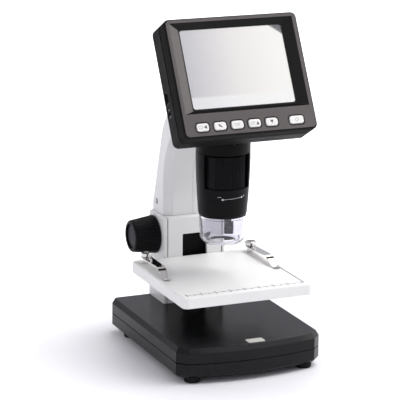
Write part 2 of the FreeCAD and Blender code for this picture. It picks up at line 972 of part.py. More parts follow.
def focus_knob(side):
    long = knob_long(side)
    end_radius = knob_inner_radius - knob_taper * long
    inner = knob_inner_round * round_share
    outer = knob_outer_round * round_share
    steps = [
        (0, 0),
        (knob_inner_radius - knob_inner_round, 0),
        (knob_inner_radius, knob_inner_round, knob_inner_radius - inner, inner),
        (end_radius, long - knob_outer_round),
        (end_radius - knob_outer_round, long, end_radius - outer, long - outer),
        (0, long),
    ]
    body = turned(steps, V(side * knob_start, shaft_y, shaft_z), V(side, 0, 0))
    body = body.cut(knob_flute_cutters(side))
    face = knob_start + long
    seat = face - knob_cap_sunk - knob_cap_thick
    body = body.cut(rod(knob_cap_radius, (side * seat, shaft_y, shaft_z),
                        (side * (face + cut_over), shaft_y, shaft_z)))
    body = body.cut(rod(shaft_radius, (side * (knob_start - cut_over), shaft_y, shaft_z),
                        (side * (face - knob_end_wall), shaft_y, shaft_z)))
    return body.removeSplitter()


def focus_knob_left():
    return focus_knob(-1)


def focus_knob_right():
    return focus_knob(1)


def focus_knob_caps():
    shapes = []
    rim = knob_cap_thick - knob_cap_crown
    half = knob_cap_radius / 2
    bow = knob_cap_thick - dome_drop(knob_cap_radius, knob_cap_crown, half)
    steps = [
        (0, 0),
        (knob_cap_radius, 0),
        (knob_cap_radius, rim),
        (0, knob_cap_thick, half, bow),
    ]
    for side in (-1, 1):
        seat = knob_start + knob_long(side) - knob_cap_sunk - knob_cap_thick
        shapes.append(turned(steps, V(side * seat, shaft_y, shaft_z), V(side, 0, 0)))
    return Part.makeCompound(shapes)


# The stage

def stage_screw_places():
    front = column_front - bracket_flange_front + stage_screw_in
    back = column_front - bracket_flange_back - stage_screw_in
    return [(x, y) for x in (-stage_screw_side, stage_screw_side) for y in (front, back)]


def stage_plate():
    back = stage_notch + stage_ear
    notch = column_half + moving_gap
    body = crowned_block(-stage_half, stage_half, stage_front, back, stage_bottom, stage_top,
                         stage_corner, stage_edge)
    body = body.cut(box(-notch, notch, stage_notch, back + cut_over,
                        stage_bottom - cut_over, stage_top + cut_over))
    roof = stage_top - stage_plate_thick
    hollow = rounded_block(-stage_half + stage_skirt, stage_half - stage_skirt,
                           stage_front + stage_skirt, back - stage_skirt,
                           stage_bottom - cut_over, roof, stage_corner - stage_skirt)
    hollow = hollow.cut(box(-notch - stage_skirt, notch + stage_skirt, stage_notch - stage_skirt,
                            back + cut_over, stage_bottom - 2 * cut_over, stage_top))
    pad_back = stage_notch - stage_skirt
    hollow = hollow.cut(box(-stage_pad_half, stage_pad_half, pad_back - stage_pad_long,
                            pad_back + cut_over, stage_bottom - 2 * cut_over, stage_top))
    for rib in range(1, stage_ribs + 1):
        y = stage_front + stage_deep * rib / (stage_ribs + 1)
        hollow = hollow.cut(box(-stage_half, stage_half, y - stage_rib / 2, y + stage_rib / 2,
                                stage_bottom, stage_top))
        x = 2 * stage_half * (rib / (stage_ribs + 1) - 0.5)
        hollow = hollow.cut(box(x - stage_rib / 2, x + stage_rib / 2, stage_front, back,
                                stage_bottom, stage_top))
    body = body.cut(hollow)
    for x, y in stage_screw_places():
        body = body.cut(rod(screw_radius, (x, y, stage_bottom - cut_over),
                            (x, y, stage_top - stage_plate_thick / 2)))
    return body.removeSplitter()


def stage_screws():
    long = bracket_flange_thick + stage_thick - stage_plate_thick
    start = stage_bottom - bracket_flange_thick - screw_head_high
    return Part.makeCompound([
        screw(V(x, y, start), V(0, 0, 1), long, screw_radius, screw_head_radius, screw_head_high)
        for x, y in stage_screw_places()])


def stage_carriage():
    """The block on the rods, with the bracket that reaches through the slot to the plate."""
    body = box(-carriage_half, carriage_half, carriage_front, carriage_back, carriage_bottom, carriage_top)
    tail = carriage_front + carriage_ahead / 2
    knee = column_front - bracket_knee
    nose = column_front - bracket_flange_front
    web = [
        (tail, carriage_bottom),
        (tail, stage_bottom),
        (nose, stage_bottom),
        (nose, stage_bottom - bracket_nose_drop),
        (knee, stage_bottom - bracket_knee_drop),
        (carriage_front, stage_bottom - bracket_drop),
        (carriage_front, carriage_bottom),
    ]
    body = body.fuse(slab(web, at_x(-bracket_half), V(2 * bracket_half, 0, 0)))
    body = body.fuse(box(-bracket_flange_half, bracket_flange_half, nose,
                         column_front - bracket_flange_back,
                         stage_bottom - bracket_flange_thick, stage_bottom))
    for x in (-rod_side, rod_side):
        body = body.cut(rod(rod_radius + bore_relief, (x, rod_y, carriage_bottom - cut_over),
                            (x, rod_y, carriage_top + cut_over)))
        body = body.cut(rod(bush_radius, (x, rod_y, carriage_bottom - cut_over),
                            (x, rod_y, carriage_bottom + bush_long)))
        body = body.cut(rod(bush_radius, (x, rod_y, carriage_top - bush_long),
                            (x, rod_y, carriage_top + cut_over)))
    root = rack_line - rack_root_share * gear_module
    body = body.cut(box(-rack_width / 2, rack_width / 2, root - rack_back_thick,
                        carriage_back + cut_over, rack_bottom, carriage_top + cut_over))
    way = gear_width / 2 + 2 * moving_gap
    tip = pitch_radius + gear_tip_share * gear_module
    body = body.cut(box(-way, way, shaft_y - tip - moving_gap, carriage_back + cut_over,
                        rack_bottom - moving_gap, carriage_top + cut_over))
    for x, y in stage_screw_places():
        body = body.cut(rod(screw_radius, (x, y, stage_bottom - bracket_nose_drop - cut_over),
                            (x, y, stage_bottom + cut_over)))
    return body.removeSplitter()


def carriage_bushes():
    shapes = []
    for x in (-rod_side, rod_side):
        for bottom in (carriage_bottom, carriage_top - bush_long):
            bush = rod(bush_radius, (x, rod_y, bottom), (x, rod_y, bottom + bush_long))
            shapes.append(bush.cut(rod(rod_radius + running_gap, (x, rod_y, bottom - cut_over),
                                       (x, rod_y, bottom + bush_long + cut_over))))
    return Part.makeCompound(shapes)


# The clips

def clip_posts():
    shapes = []
    top = stage_top + clip_post_high
    for x in (-clip_side, clip_side):
        post = rod(clip_post_radius, (x, clip_y, stage_top), (x, clip_y, top))
        shapes.append(post.cut(rod(clip_screw_radius + running_gap,
                                   (x, clip_y, top - clip_screw_deep - seat_gap),
                                   (x, clip_y, top + cut_over))))
    return Part.makeCompound(shapes)


def clip_strip(side, turn):
    """A bent strip: flat at the post, climbing, down to a foot near the plate, then curled up."""
    x = side * clip_side
    high = clip_post_high + seat_gap
    under = [
        (-clip_eye - cut_over, high),
        (clip_eye, high),
        (clip_long * clip_bend_share, high + clip_lift),
        (clip_long * clip_foot_share, moving_gap),
        (clip_long * clip_heel_share, moving_gap),
        (clip_long + cut_over, moving_gap + clip_curl),
    ]
    over = [(reach, rise + clip_thick) for reach, rise in reversed(under)]
    steps = [(clip_y - reach, stage_top + rise) for reach, rise in under + over]
    body = slab(steps, at_x(x - clip_wide), V(2 * clip_wide, 0, 0))
    half = clip_wide / 2
    bend = clip_bend_wide / 2
    bend_y = clip_y - clip_long * clip_bend_share
    tip = clip_tip_wide / 2
    end = clip_y - clip_long
    plan = [
        (x + half, clip_y),
        (x - half, clip_y, x, clip_y + clip_eye),
        (x - bend, bend_y),
        (x - tip, end + tip),
        (x + tip, end + tip, x, end),
        (x + bend, bend_y),
    ]
    body = body.common(slab(plan, at_z(stage_top), V(0, 0, 2 * clip_post_high)))
    foot = clip_y - clip_long * (clip_foot_share + clip_heel_share) / 2
    dimple = stage_top + moving_gap + clip_thick - clip_dimple_deep + clip_dimple_radius
    body = body.cut(Part.makeSphere(clip_dimple_radius, V(x, foot, dimple)))
    body = body.cut(rod(clip_screw_radius, (x, clip_y, stage_top), (x, clip_y, stage_top + 2 * high)))
    body.rotate(V(x, clip_y, 0), V(0, 0, 1), turn)
    return body.removeSplitter()


def clip_left():
    return clip_strip(-1, -clip_left_out)


def clip_right():
    return clip_strip(1, 0)


def clip_screw(side):
    seat = stage_top + clip_post_high + seat_gap + clip_thick
    top = seat + clip_neck_high + clip_head_high
    bevel = clip_head_bevel
    steps = [
        (0, stage_top + clip_post_high - clip_screw_deep),
        (clip_screw_radius, stage_top + clip_post_high - clip_screw_deep),
        (clip_screw_radius, seat),
        (clip_neck_radius, seat),
        (clip_neck_radius, seat + clip_neck_high),
        (clip_head_radius - bevel, seat + clip_neck_high),
        (clip_head_radius, seat + clip_neck_high + bevel),
        (clip_head_radius, top - bevel),
        (clip_head_radius - bevel, top),
        (clip_hollow_radius, top),
        (clip_hollow_radius, top - clip_hollow_deep),
        (0, top - clip_hollow_deep),
    ]
    return turned(steps, V(side * clip_side, clip_y, 0), V(0, 0, 1))


def clip_screw_left():
    return clip_screw(-1)


def clip_screw_right():
    return clip_screw(1)


# The barrel

def turned_round_barrel(steps):
    return turned(steps, V(0, barrel_y, 0), V(0, 0, 1))


def barrel_rod(radius, z0, z1):
    return rod(radius, (0, barrel_y, z0), (0, barrel_y, z1))


def sector(inner, outer, z0, z1, start, end):
    """Part of a ring round the barrel's axis. Angles run from the front to the right."""
    steps = [(inner, z0), (outer, z0), (outer, z1), (inner, z1)]
    face = Part.Face(flat_wire(steps, lambda radius, z: V(0, barrel_y - radius, z)))
    face.rotate(V(0, barrel_y, 0), V(0, 0, 1), start)
    return solid_of(face.revolve(V(0, barrel_y, 0), V(0, 0, 1), end - start))


def barrel_shell():
    low = barrel_bottom + barrel_low_round
    mid = barrel_bottom + barrel_high * barrel_mid_share
    full = barrel_bottom + barrel_high * barrel_full_share
    ledge = ring_bottom - ledge_gap
    body = turned_round_barrel([
        (cup_seat_radius, barrel_bottom),
        (barrel_mouth_radius, barrel_bottom),
        (barrel_low_radius, low),
        (barrel_radius, full, barrel_mid_radius, mid),
        (barrel_radius, collar_bottom),
        (shell_inner_radius, collar_bottom),
        (shell_inner_radius, ledge),
        (cup_seat_radius, ledge),
    ])
    window = sector(ring_radius + moving_gap, barrel_radius + cut_over, window_bottom,
                    collar_bottom + cut_over, window_left, window_right)
    return body.cut(window).removeSplitter()


def barrel_collar():
    seat = collar_bottom + core_flange_thick
    roof = barrel_top - collar_roof
    spigot_top = barrel_top + spigot_high
    groove_radius = barrel_radius - collar_groove
    body = turned_round_barrel([
        (core_flange_radius + running_gap, collar_bottom),
        (groove_radius, collar_bottom),
        (groove_radius, collar_bottom + collar_groove),
        (barrel_radius, collar_bottom + collar_groove),
        (barrel_radius, barrel_top),
        (spigot_radius, barrel_top),
        (spigot_radius, spigot_top),
        (cable_half, spigot_top),
        (cable_half, spigot_top - spigot_wall),
        (spigot_radius - spigot_wall, spigot_top - spigot_wall),
        (spigot_radius - spigot_wall, roof),
        (barrel_radius - collar_wall, roof),
        (barrel_radius - collar_wall, seat),
        (core_flange_radius + running_gap, seat),
    ])
    return body


def barrel_core():
    top = collar_bottom + core_flange_thick
    return turned_round_barrel([
        (core_bore_radius, core_bottom),
        (core_radius, core_bottom),
        (core_radius, collar_bottom),
        (core_flange_radius, collar_bottom),
        (core_flange_radius, top),
        (core_bore_radius, top),
    ])


def sensor_board():
    bottom = collar_bottom + core_flange_thick
    chip = box(-sensor_chip_half, sensor_chip_half, barrel_y - sensor_chip_half,
               barrel_y + sensor_chip_half, bottom - sensor_chip_high, bottom)
    return barrel_rod(sensor_board_radius, bottom, bottom + sensor_board_thick).fuse(chip)


def led_board():
    board = barrel_rod(led_board_radius, led_board_bottom, core_bottom)
    return board.cut(barrel_rod(led_board_hole, led_board_bottom - cut_over, core_bottom + cut_over))


def leds():
    shapes = []
    for number in range(led_count):
        turn = 2 * math.pi * (number + 0.5) / led_count
        x = led_circle * math.sin(turn)
        y = barrel_y + led_circle * math.cos(turn)
        shapes.append(turned([
            (0, -led_long),
            (led_radius / 2, -led_long),
            (led_radius, led_radius / 2 - led_long),
            (led_radius, 0),
            (0, 0),
        ], V(x, y, led_board_bottom), V(0, 0, 1)))
    return Part.makeCompound(shapes)


def zoom_ring():
    body = barrel_rod(ring_radius, ring_bottom, ring_top)
    outer = ring_radius + pad_rise
    pad = sector(ring_radius - collar_wall, outer, ring_bottom, ring_top, pad_left, pad_right)
    body = body.fuse(pad)
    body = body.cut(barrel_rod(core_radius + running_gap, ring_bottom - cut_over, ring_top + cut_over))
    first = pad_left + pad_smooth
    pitch = (pad_right - first) / pad_ribs
    for rib in range(pad_ribs):
        start = first + pitch * rib
        body = body.cut(sector(outer - pad_rib_deep, outer + cut_over, ring_bottom - cut_over,
                               ring_top + cut_over, start, start + pitch * pad_rib_share))
    return body.removeSplitter()


def lens_carrier():
    nose = carrier_bottom - carrier_nose_long
    top = carrier_bottom + carrier_high
    slide = core_bore_radius - running_gap
    stop = nose + lens_sunk + lens_thick
    return turned_round_barrel([
        (carrier_bore_radius, nose),
        (carrier_nose_radius, nose),
        (carrier_nose_radius, carrier_bottom),
        (slide, carrier_bottom),
        (slide, top),
        (carrier_bore_radius - lens_stop, top),
        (carrier_bore_radius - lens_stop, stop),
        (carrier_bore_radius, stop),
    ])


def objective_lens():
    bottom = carrier_bottom - carrier_nose_long + lens_sunk
    top = bottom + lens_thick
    rim = bottom + lens_crown
    half = carrier_bore_radius / 2
    bow = bottom + dome_drop(carrier_bore_radius, lens_crown, half)
    return turned_round_barrel([
        (0, bottom),
        (carrier_bore_radius, rim, half, bow),
        (carrier_bore_radius, top),
        (0, top),
    ])


def clear_cup():
    lower_z = cup_bottom + cup_round
    top_inner = cup_neck_radius - cup_wall
    shoulder = barrel_bottom - cup_wall
    inner_round = cup_round - cup_wall
    outer_arc = cup_round * round_share
    inner_arc = inner_round * round_share
    wall_in = cup_bottom_radius - cup_wall
    floor = cup_bottom + cup_wall
    return turned_round_barrel([
        (cup_hole_radius, cup_bottom),
        (cup_bottom_radius - cup_round, cup_bottom),
        (cup_bottom_radius, lower_z, cup_bottom_radius - outer_arc, cup_bottom + outer_arc),
        (cup_top_radius, barrel_bottom),
        (cup_neck_radius, barrel_bottom),
        (cup_neck_radius, barrel_bottom + cup_neck_high),
        (top_inner, barrel_bottom + cup_neck_high),
        (top_inner, shoulder),
        (cup_top_radius - cup_wall, shoulder),
        (wall_in, lower_z),
        (wall_in - inner_round, floor, wall_in - inner_arc, floor + inner_arc),
        (cup_hole_radius, floor),
    ])


# The arm

def arc_point(centre, radius, angle):
    turn = math.radians(angle)
    return (centre[0] + radius * math.cos(turn), centre[1] + radius * math.sin(turn))


def arm_curves():
    """Centres and radii of the arm's side view, each arc running smoothly into the next."""
    bend = (arm_front - arm_bend_radius, column_top + arm_bend_up)
    end = arc_point(bend, arm_bend_radius, arm_bend_angle)
    throat_radius = (barrel_top - end[1]) / (1 - math.sin(math.radians(arm_bend_angle)))
    throat = arc_point(end, -throat_radius, arm_bend_angle)
    lean = math.radians(arm_lean)
    crown_z = arm_top - arm_crown_radius
    heel_z = column_top + arm_heel_up
    reach = (arm_crown_radius + (crown_z - heel_z) * math.sin(lean)) / math.cos(lean)
    return bend, throat, throat_radius, (arm_back - reach, crown_z), heel_z


def front_steps(inset, setback):
    """Front of the arm from the nose's underside down to the column, as arcs and a line."""
    bend, throat, throat_radius, _, _ = arm_curves()
    half_turn = (90 + arm_bend_angle) / 2
    near = throat_radius + inset
    far = arm_bend_radius + inset + setback
    start = arc_point(throat, near, 90)
    knee = arc_point(bend, far, arm_bend_angle)
    middle = arc_point(throat, near + setback / 2, half_turn)
    straight = arc_point(bend, far, 0)
    return [start, (*knee, *middle), (*straight, *arc_point(bend, far, arm_bend_angle / 2))]


def arm_outer_wire(x, setback, edge):
    """Side view of the arm at x. The front lies back by setback, the back comes in by edge."""
    _, _, _, crown, heel_z = arm_curves()
    radius = arm_crown_radius - edge
    top = arm_top - edge
    front = arm_front + setback
    tongue_back = arm_back - arm_tongue_gap
    tongue_front = tongue_back - arm_tongue_deep
    nose_y = barrel_y - barrel_radius
    ledge = barrel_top + arm_ledge_high
    lean_in = (ledge - barrel_top - arm_nose_front_high) * math.tan(tilt)
    slope_low = slope_top.y - (arm_top - ledge) * math.tan(tilt)
    slope_high = slope_top.y - edge * math.tan(tilt)
    steps = [(nose_y, barrel_top)]
    steps += front_steps(0, setback)
    steps += [
        (front, column_top),
        (tongue_front, column_top),
        (tongue_front, column_top - arm_tongue_long),
        (tongue_back, column_top - arm_tongue_long),
        (tongue_back, column_top),
        (arm_back - edge, column_top),
        (arm_back - edge, heel_z),
        arc_point(crown, radius, arm_lean),
        (*arc_point(crown, radius, 90), *arc_point(crown, radius, (90 + arm_lean) / 2)),
        (slope_high, top),
        (slope_low, ledge),
        (nose_y + lean_in, ledge),
        (nose_y, barrel_top + arm_nose_front_high),
    ]
    return flat_wire(steps, at_x(x))


def arm_inner_wire(x, setback):
    """Side view of the arm's hollow at x, run on through the nose, which stays solid."""
    _, _, _, crown, heel_z = arm_curves()
    radius = arm_crown_radius - arm_wall
    low = column_top - arm_tongue_long - cut_over
    tongue_back = arm_back - arm_tongue_gap - arm_wall
    nose_y = barrel_y - barrel_radius
    steps = [(nose_y, barrel_top + arm_wall)]
    steps += front_steps(arm_wall, setback)
    steps += [
        (arm_front + arm_wall + setback, low),
        (tongue_back, low),
        (tongue_back, column_top + arm_wall),
        (arm_back - arm_wall, column_top + arm_wall),
        (arm_back - arm_wall, heel_z),
        arc_point(crown, radius, arm_lean),
        (*arc_point(crown, radius, 90), *arc_point(crown, radius, (90 + arm_lean) / 2)),
        (nose_y, arm_top - arm_wall),
    ]
    return flat_wire(steps, at_x(x))


def arm_plan(inset):
    """The arm from above: a round nose that widens to the arm's full width."""
    nose = barrel_radius - inset
    wide = arm_half - inset
    start = barrel_y + arm_widen_from
    end = start + arm_widen_long
    steps = [
        (nose, barrel_y),
        (nose, start),
        (wide, end),
        (wide, base_depth),
        (-wide, base_depth),
        (-wide, end),
        (-nose, start),
        (-nose, barrel_y),
        (nose, barrel_y, 0, barrel_y - nose),
    ]
    return slab(steps, at_z(base_top), V(0, 0, base_depth * 2))


def arm_block():
    """Both halves of the arm together, hollow behind the nose and open below."""
    flat_x = arm_half - arm_facet_wide
    edge_x = arm_half - arm_edge
    mid_x = arm_half - arm_edge * round_share
    outside = [(flat_x, 0), (edge_x, 0), (mid_x, arm_edge * round_share), (arm_half, arm_edge)]
    wires = [arm_outer_wire(-x, facet_y(x), edge) for x, edge in reversed(outside)]
    wires += [arm_outer_wire(x, facet_y(x), edge) for x, edge in outside]
    body = loft(wires).common(arm_plan(0))
    slant = arm_facet_deep / arm_facet_wide
    thicker = arm_wall * (math.hypot(1, slant) - 1)
    inner_flat = flat_x - thicker / slant
    inner_set = (arm_inner - inner_flat) * slant
    hollow = loft([
        arm_inner_wire(-arm_inner, inner_set),
        arm_inner_wire(-inner_flat, 0),
        arm_inner_wire(inner_flat, 0),
        arm_inner_wire(arm_inner, inner_set),
    ])
    behind = box(-arm_half, arm_half, hollow_front, arm_back, base_top, arm_top)
    body = body.cut(hollow.common(behind).common(arm_plan(arm_wall)))
    for half, y, z in cross_screw_places()[1:]:
        body = body.fuse(rod(arm_boss_radius, (-arm_inner, y, z), (arm_inner, y, z)))
        body = body.cut(side_screw_hole(half, y, z))
    body = body.cut(barrel_rod(spigot_radius + seat_gap, barrel_top - cut_over,
                               barrel_top + spigot_high + seat_gap))
    duct_bottom = barrel_top + spigot_high - seat_gap
    duct_back = hollow_front + cut_over
    body = body.cut(box(-cable_half, cable_half, barrel_y, duct_back, duct_bottom,
                        duct_bottom + cable_high))
    for hole in hinge_screw_rods(small_screw_radius, hinge_screw_long + seat_gap):
        body = body.cut(hole)
    return body


def arm_left_shell():
    return arm_block().common(half_space(-1)).removeSplitter()


def arm_right_shell():
    return arm_block().common(half_space(1)).removeSplitter()


def arm_case_screws():
    return Part.makeCompound([side_screw(half, y, z) for half, y, z in cross_screw_places()])


# The hinge

def placed(shape):
    """Moves a piece from the screen unit's own frame to its place on the object."""
    return shape.transformed(head_place)


def side_view(steps, u0, u1):
    """A block of the screen unit's own frame from its outline in (v, d)."""
    return slab(steps, lambda v, d: V(u0, v, d), V(u1 - u0, 0, 0))


def hinge_rod(radius, u0, u1):
    return rod(radius, (u0, -hinge_low, hinge_d), (u1, -hinge_low, hinge_d))


def hinge_screw_rods(radius, long):
    """Holes or shanks of the two screws that hold the bracket on the nose."""
    v = -hinge_low - hinge_screw_low
    face = slope_d + hinge_leaf_thick
    return [placed(rod(radius, (u, v, face), (u, v, face - long)))
            for u in (-hinge_screw_side, hinge_screw_side)]


def hinge_bracket():
    top = -hinge_low - hinge_rise
    plate = side_view(rectangle(top - hinge_plate_long, top, slope_d, slope_d + hinge_leaf_thick),
                      -hinge_bracket_half, hinge_bracket_half)
    web = side_view(rectangle(-hinge_low - hinge_radius, top, slope_d, hinge_d),
                    -hinge_bracket_half, hinge_bracket_half)
    body = joined([plate, web, hinge_rod(hinge_radius, -hinge_bracket_half, hinge_bracket_half)])
    body = body.cut(hinge_rod(hinge_pin_radius, -hinge_half, hinge_half))
    body = placed(body)
    for hole in hinge_screw_rods(small_screw_radius, hinge_screw_long):
        body = body.cut(hole)
    return body


def rectangle(a0, a1, b0, b1):
    return [(a0, b0), (a1, b0), (a1, b1), (a0, b1)]


def hinge_screws():
    v = -hinge_low - hinge_screw_low
    start = slope_d + hinge_leaf_thick + small_head_high
    return Part.makeCompound([
        placed(screw(V(u, v, start), V(0, 0, -1), hinge_screw_long, small_screw_radius,
                     small_head_radius, small_head_high))
        for u in (-hinge_screw_side, hinge_screw_side)])


def hinge_pin():
    end = hinge_half + moving_gap
    body = hinge_rod(hinge_pin_radius, -end, end)
    for side in (-1, 1):
        body = body.fuse(hinge_rod(hinge_pin_head_radius, side * end, side * (end + hinge_pin_head)))
    return placed(body.removeSplitter())


def hinge_knuckles():
    back = -head_thick
    inner = hinge_bracket_half + hinge_side_gap
    shapes = []
    for side in (-1, 1):
        u0, u1 = sorted((side * inner, side * hinge_half))
        leaf = side_view(rectangle(-hinge_low - hinge_leaf_low, -hinge_low + hinge_leaf_high,
                                   back - hinge_leaf_thick, back), u0, u1)
        web = side_view(rectangle(-hinge_low - hinge_radius, -hinge_low + hinge_radius,
                                  hinge_d, back), u0, u1)
        body = joined([leaf, web, hinge_rod(hinge_radius, u0, u1)])
        body = body.cut(hinge_rod(hinge_pin_radius + running_gap, u0 - cut_over, u1 + cut_over))
        shapes.append(placed(body))
    return Part.makeCompound(shapes)


# The screen unit

def head_block(inset, d0, d1):
    return rounded_block(-head_half_width + inset, head_half_width - inset,
                         -head_half_high + inset, head_half_high - inset,
                         d0, d1, head_corner - inset)


def screen_block(margin, margin_high, d0, d1):
    """A block round the middle of the picture, larger than the opening by the margins."""
    half = screen_half_width + margin
    high = screen_half_high + margin_high
    return box(screen_u - half, screen_u + half, screen_v - high, screen_v + high, d0, d1)


def case_screw_places():
    u = head_half_width - case_screw_side
    v = head_half_high - case_screw_end
    return [(-u, -v), (u, -v), (-u, v), (u, v)]


def all_buttons():
    """Middle and width of each button in the row."""
    return [(u, button_wide) for u in button_places] + [(power_u, power_wide)]


def screen_bezel():
    face_back = -screen_deep - face_thick
    body = crowned_block(-head_half_width, head_half_width, -head_half_high, head_half_high,
                         -bezel_deep, 0, head_corner, head_edge)
    left = -head_half_width + recess_side
    right = head_half_width - recess_side
    top = head_half_high - recess_top
    low = -head_half_high + recess_low
    rim = flat_wire(rectangle(left, right, low, top), at_z(0))
    opening = flat_wire(rectangle(screen_u - screen_half_width, screen_u + screen_half_width,
                                  screen_v - screen_half_high, screen_v + screen_half_high),
                        at_z(-screen_deep))
    body = body.cut(loft([rim, opening]))
    body = body.cut(screen_block(0, 0, -bezel_deep - cut_over, 0))
    window_back = -screen_deep - window_thick
    body = body.cut(screen_block(window_margin, window_margin, window_back - cut_over, -screen_deep))
    body = body.cut(screen_block(panel_margin, panel_margin, -bezel_deep - cut_over, window_back))
    body = body.cut(head_block(head_wall, -bezel_deep - cut_over, face_back))
    body = body.cut(keypad_room(-bezel_deep - cut_over, -face_thick))
    for u, v in case_screw_places():
        post = rod(case_boss_radius, (u, v, -bezel_deep), (u, v, -face_thick))
        body = body.fuse(post.common(head_block(0, -bezel_deep, 0)))
        body = body.cut(rod(small_screw_radius, (u, v, -bezel_deep - cut_over), (u, v, face_back)))
    middles = [(first + second) / 2 for first, second in zip(button_places, button_places[1:])]
    middles.append((button_places[-1] + power_u) / 2)
    for u in middles:
        body = body.fuse(box(u - keypad_rib / 2, u + keypad_rib / 2, button_v - keypad_half_high,
                             button_v + keypad_half_high, keypad_top, -face_thick))
    for u, wide in all_buttons():
        body = body.cut(button_block(u, wide, button_gap, -bezel_deep, cut_over))
    return placed(body.removeSplitter())


def keypad_room(d0, d1):
    """The room behind the buttons, between the lower wall and the edge of the panel."""
    top = screen_v - screen_half_high - panel_margin - head_wall
    return box(-head_half_width + head_wall, head_half_width - head_wall,
               -head_half_high + head_wall, top, d0, d1)


def button_block(u, wide, gap, d0, d1):
    half = wide / 2 + gap
    high = button_high / 2 + gap
    return rounded_block(u - half, u + half, button_v - high, button_v + high, d0, d1, button_round + gap)


def button(u, wide):
    half = wide / 2
    high = button_high / 2
    cap = crowned_block(u - half, u + half, button_v - high, button_v + high,
                        flange_bottom, button_proud, button_round, button_edge)
    flange = box(u - half - button_flange, u + half + button_flange,
                 button_v - high - button_flange, button_v + high + button_flange,
                 flange_bottom, flange_top)
    stem = rod(button_stem, (u, button_v, flange_bottom - button_stem_long), (u, button_v, flange_top))
    return placed(joined([cap, flange, stem]))


def keypad_board():
    left = -head_half_width + keypad_end
    right = head_half_width - keypad_end
    body = box(left, right, button_v - keypad_half_high, button_v + keypad_half_high,
               keypad_top - keypad_thick, keypad_top)
    for u, wide in all_buttons():
        body = body.fuse(Part.makeCone(dome_radius, dome_radius / 2, dome_high,
                                       V(u, button_v, keypad_top), V(0, 0, 1)))
    return placed(body)


def screen_rear_cover():
    front = -bezel_deep
    groove = front - head_groove
    bevel = -head_thick + head_bevel_deep
    body = head_block(head_groove_in, groove, front).fuse(head_block(0, bevel, groove))
    body = body.fuse(rear_bevel(0, bevel, -head_thick))
    lip_out = head_wall + seat_gap
    lip = head_block(lip_out, groove, front + head_lip_high)
    past = front + head_lip_high + cut_over
    for u, v in case_screw_places():
        lip = lip.cut(rod(case_boss_radius + seat_gap, (u, v, front), (u, v, past)))
    body = body.fuse(lip)
    body = body.cut(head_block(head_wall, bevel, groove))
    body = body.cut(head_block(lip_out + head_lip, groove - running_gap, past))
    body = body.cut(rear_bevel(head_wall, bevel, rear_floor))
    for u, v in case_screw_places():
        post = rod(case_boss_radius, (u, v, -head_thick + case_screw_sunk), (u, v, front))
        body = body.fuse(post.common(head_block(head_groove_in, -head_thick, front)))
        body = body.cut(rod(small_screw_radius, (u, v, -head_thick), (u, v, past)))
        body = body.cut(rod(small_head_radius, (u, v, -head_thick - cut_over),
                            (u, v, -head_thick + case_screw_sunk + small_head_high)))
    for u, v in board_post_places():
        body = body.fuse(rod(board_post_radius, (u, v, rear_floor - head_wall / 2), (u, v, board_back)))
    for hole in (data_socket_block(seat_gap), video_socket_block(seat_gap)):
        body = body.cut(hole)
    return placed(body.removeSplitter())


def rear_bevel(wall, d0, d1):
    """The bevelled back of the cover, or the hollow inside it when a wall is given."""
    side = head_half_width - wall
    high = head_half_high - wall
    radius = head_corner - wall
    wide = rounded_steps(-side, side, -high, high, radius)
    small = rounded_steps(-side + head_bevel_side, side - head_bevel_side,
                          -high + head_bevel_low, high - head_bevel_high, radius)
    return loft([flat_wire(wide, at_z(d0)), flat_wire(small, at_z(d1))])


def board_edges():
    half = head_half_width - board_side
    return -half, half, -head_half_high + board_low, head_half_high - board_high


def board_post_places():
    left, right, low, high = board_edges()
    side = board_post_in
    inner = board_post_radius + cut_over
    return [(u, v) for u in (left + side, right - side) for v in (low + inner, high - inner)]


def main_board():
    left, right, low, high = board_edges()
    return placed(box(left, right, low, high, board_back, board_back + board_thick))


def battery_pack():
    half = head_half_width - battery_side
    return placed(rounded_block(-half, half, -head_half_high + battery_low, head_half_high - battery_high,
                                rear_floor, rear_floor + battery_thick, battery_round))


def data_socket_block(gap):
    left = -head_half_width + socket_sill
    half = data_socket_wide / 2 + gap
    start = left - (gap and cut_over)
    return box(start, left + socket_long, -data_socket_low - half, -data_socket_low + half,
               board_back - data_socket_high - gap, board_back)


def video_socket_block(gap):
    left = -head_half_width + socket_sill
    half = video_socket_wide / 2 + gap
    start = left - (gap and cut_over)
    return box(start, left + socket_long, -video_socket_low - half, -video_socket_low + half,
               board_back - video_socket_high - gap, board_back)


def side_sockets():
    left = -head_half_width + socket_sill
    half = data_socket_wide / 2 - socket_wall
    data = data_socket_block(0)
    mouth = box(left - cut_over, left + socket_deep, -data_socket_low - half, -data_socket_low + half,
                board_back - data_socket_high + socket_wall, board_back - socket_wall)
    tongue = box(left + socket_wall, left + socket_deep, -data_socket_low - half / 2,
                 -data_socket_low + half / 2, board_back - data_socket_high / 2 - socket_wall / 2,
                 board_back - data_socket_high / 2 + socket_wall / 2)
    data = data.cut(mouth).fuse(tongue)
    middle = board_back - video_socket_high / 2
    hole = rod(video_hole_radius, (left - cut_over, -video_socket_low, middle),
               (left + socket_deep, -video_socket_low, middle))
    video = video_socket_block(0).cut(hole)
    return Part.makeCompound([placed(data.removeSplitter().Solids[0]), placed(video)])


def display_window():
    return placed(screen_block(window_margin - seat_gap, window_margin - seat_gap,
                               -screen_deep - window_thick, -screen_deep))


def display_panel():
    front = -screen_deep - window_thick
    return placed(screen_block(panel_margin - seat_gap, panel_margin - seat_gap,
                               front - panel_thick, front))


def screen_case_screws():
    start = -head_thick + case_screw_sunk
    long = head_thick - case_screw_sunk - small_head_high - screen_deep - face_thick - seat_gap
    return Part.makeCompound([
        placed(screw(V(u, v, start), V(0, 0, 1), long, small_screw_radius, small_head_radius,
                     small_head_high))
        for u, v in case_screw_places()])


def button_maker(index):
    u, wide = all_buttons()[index]
    return lambda: button(u, wide)


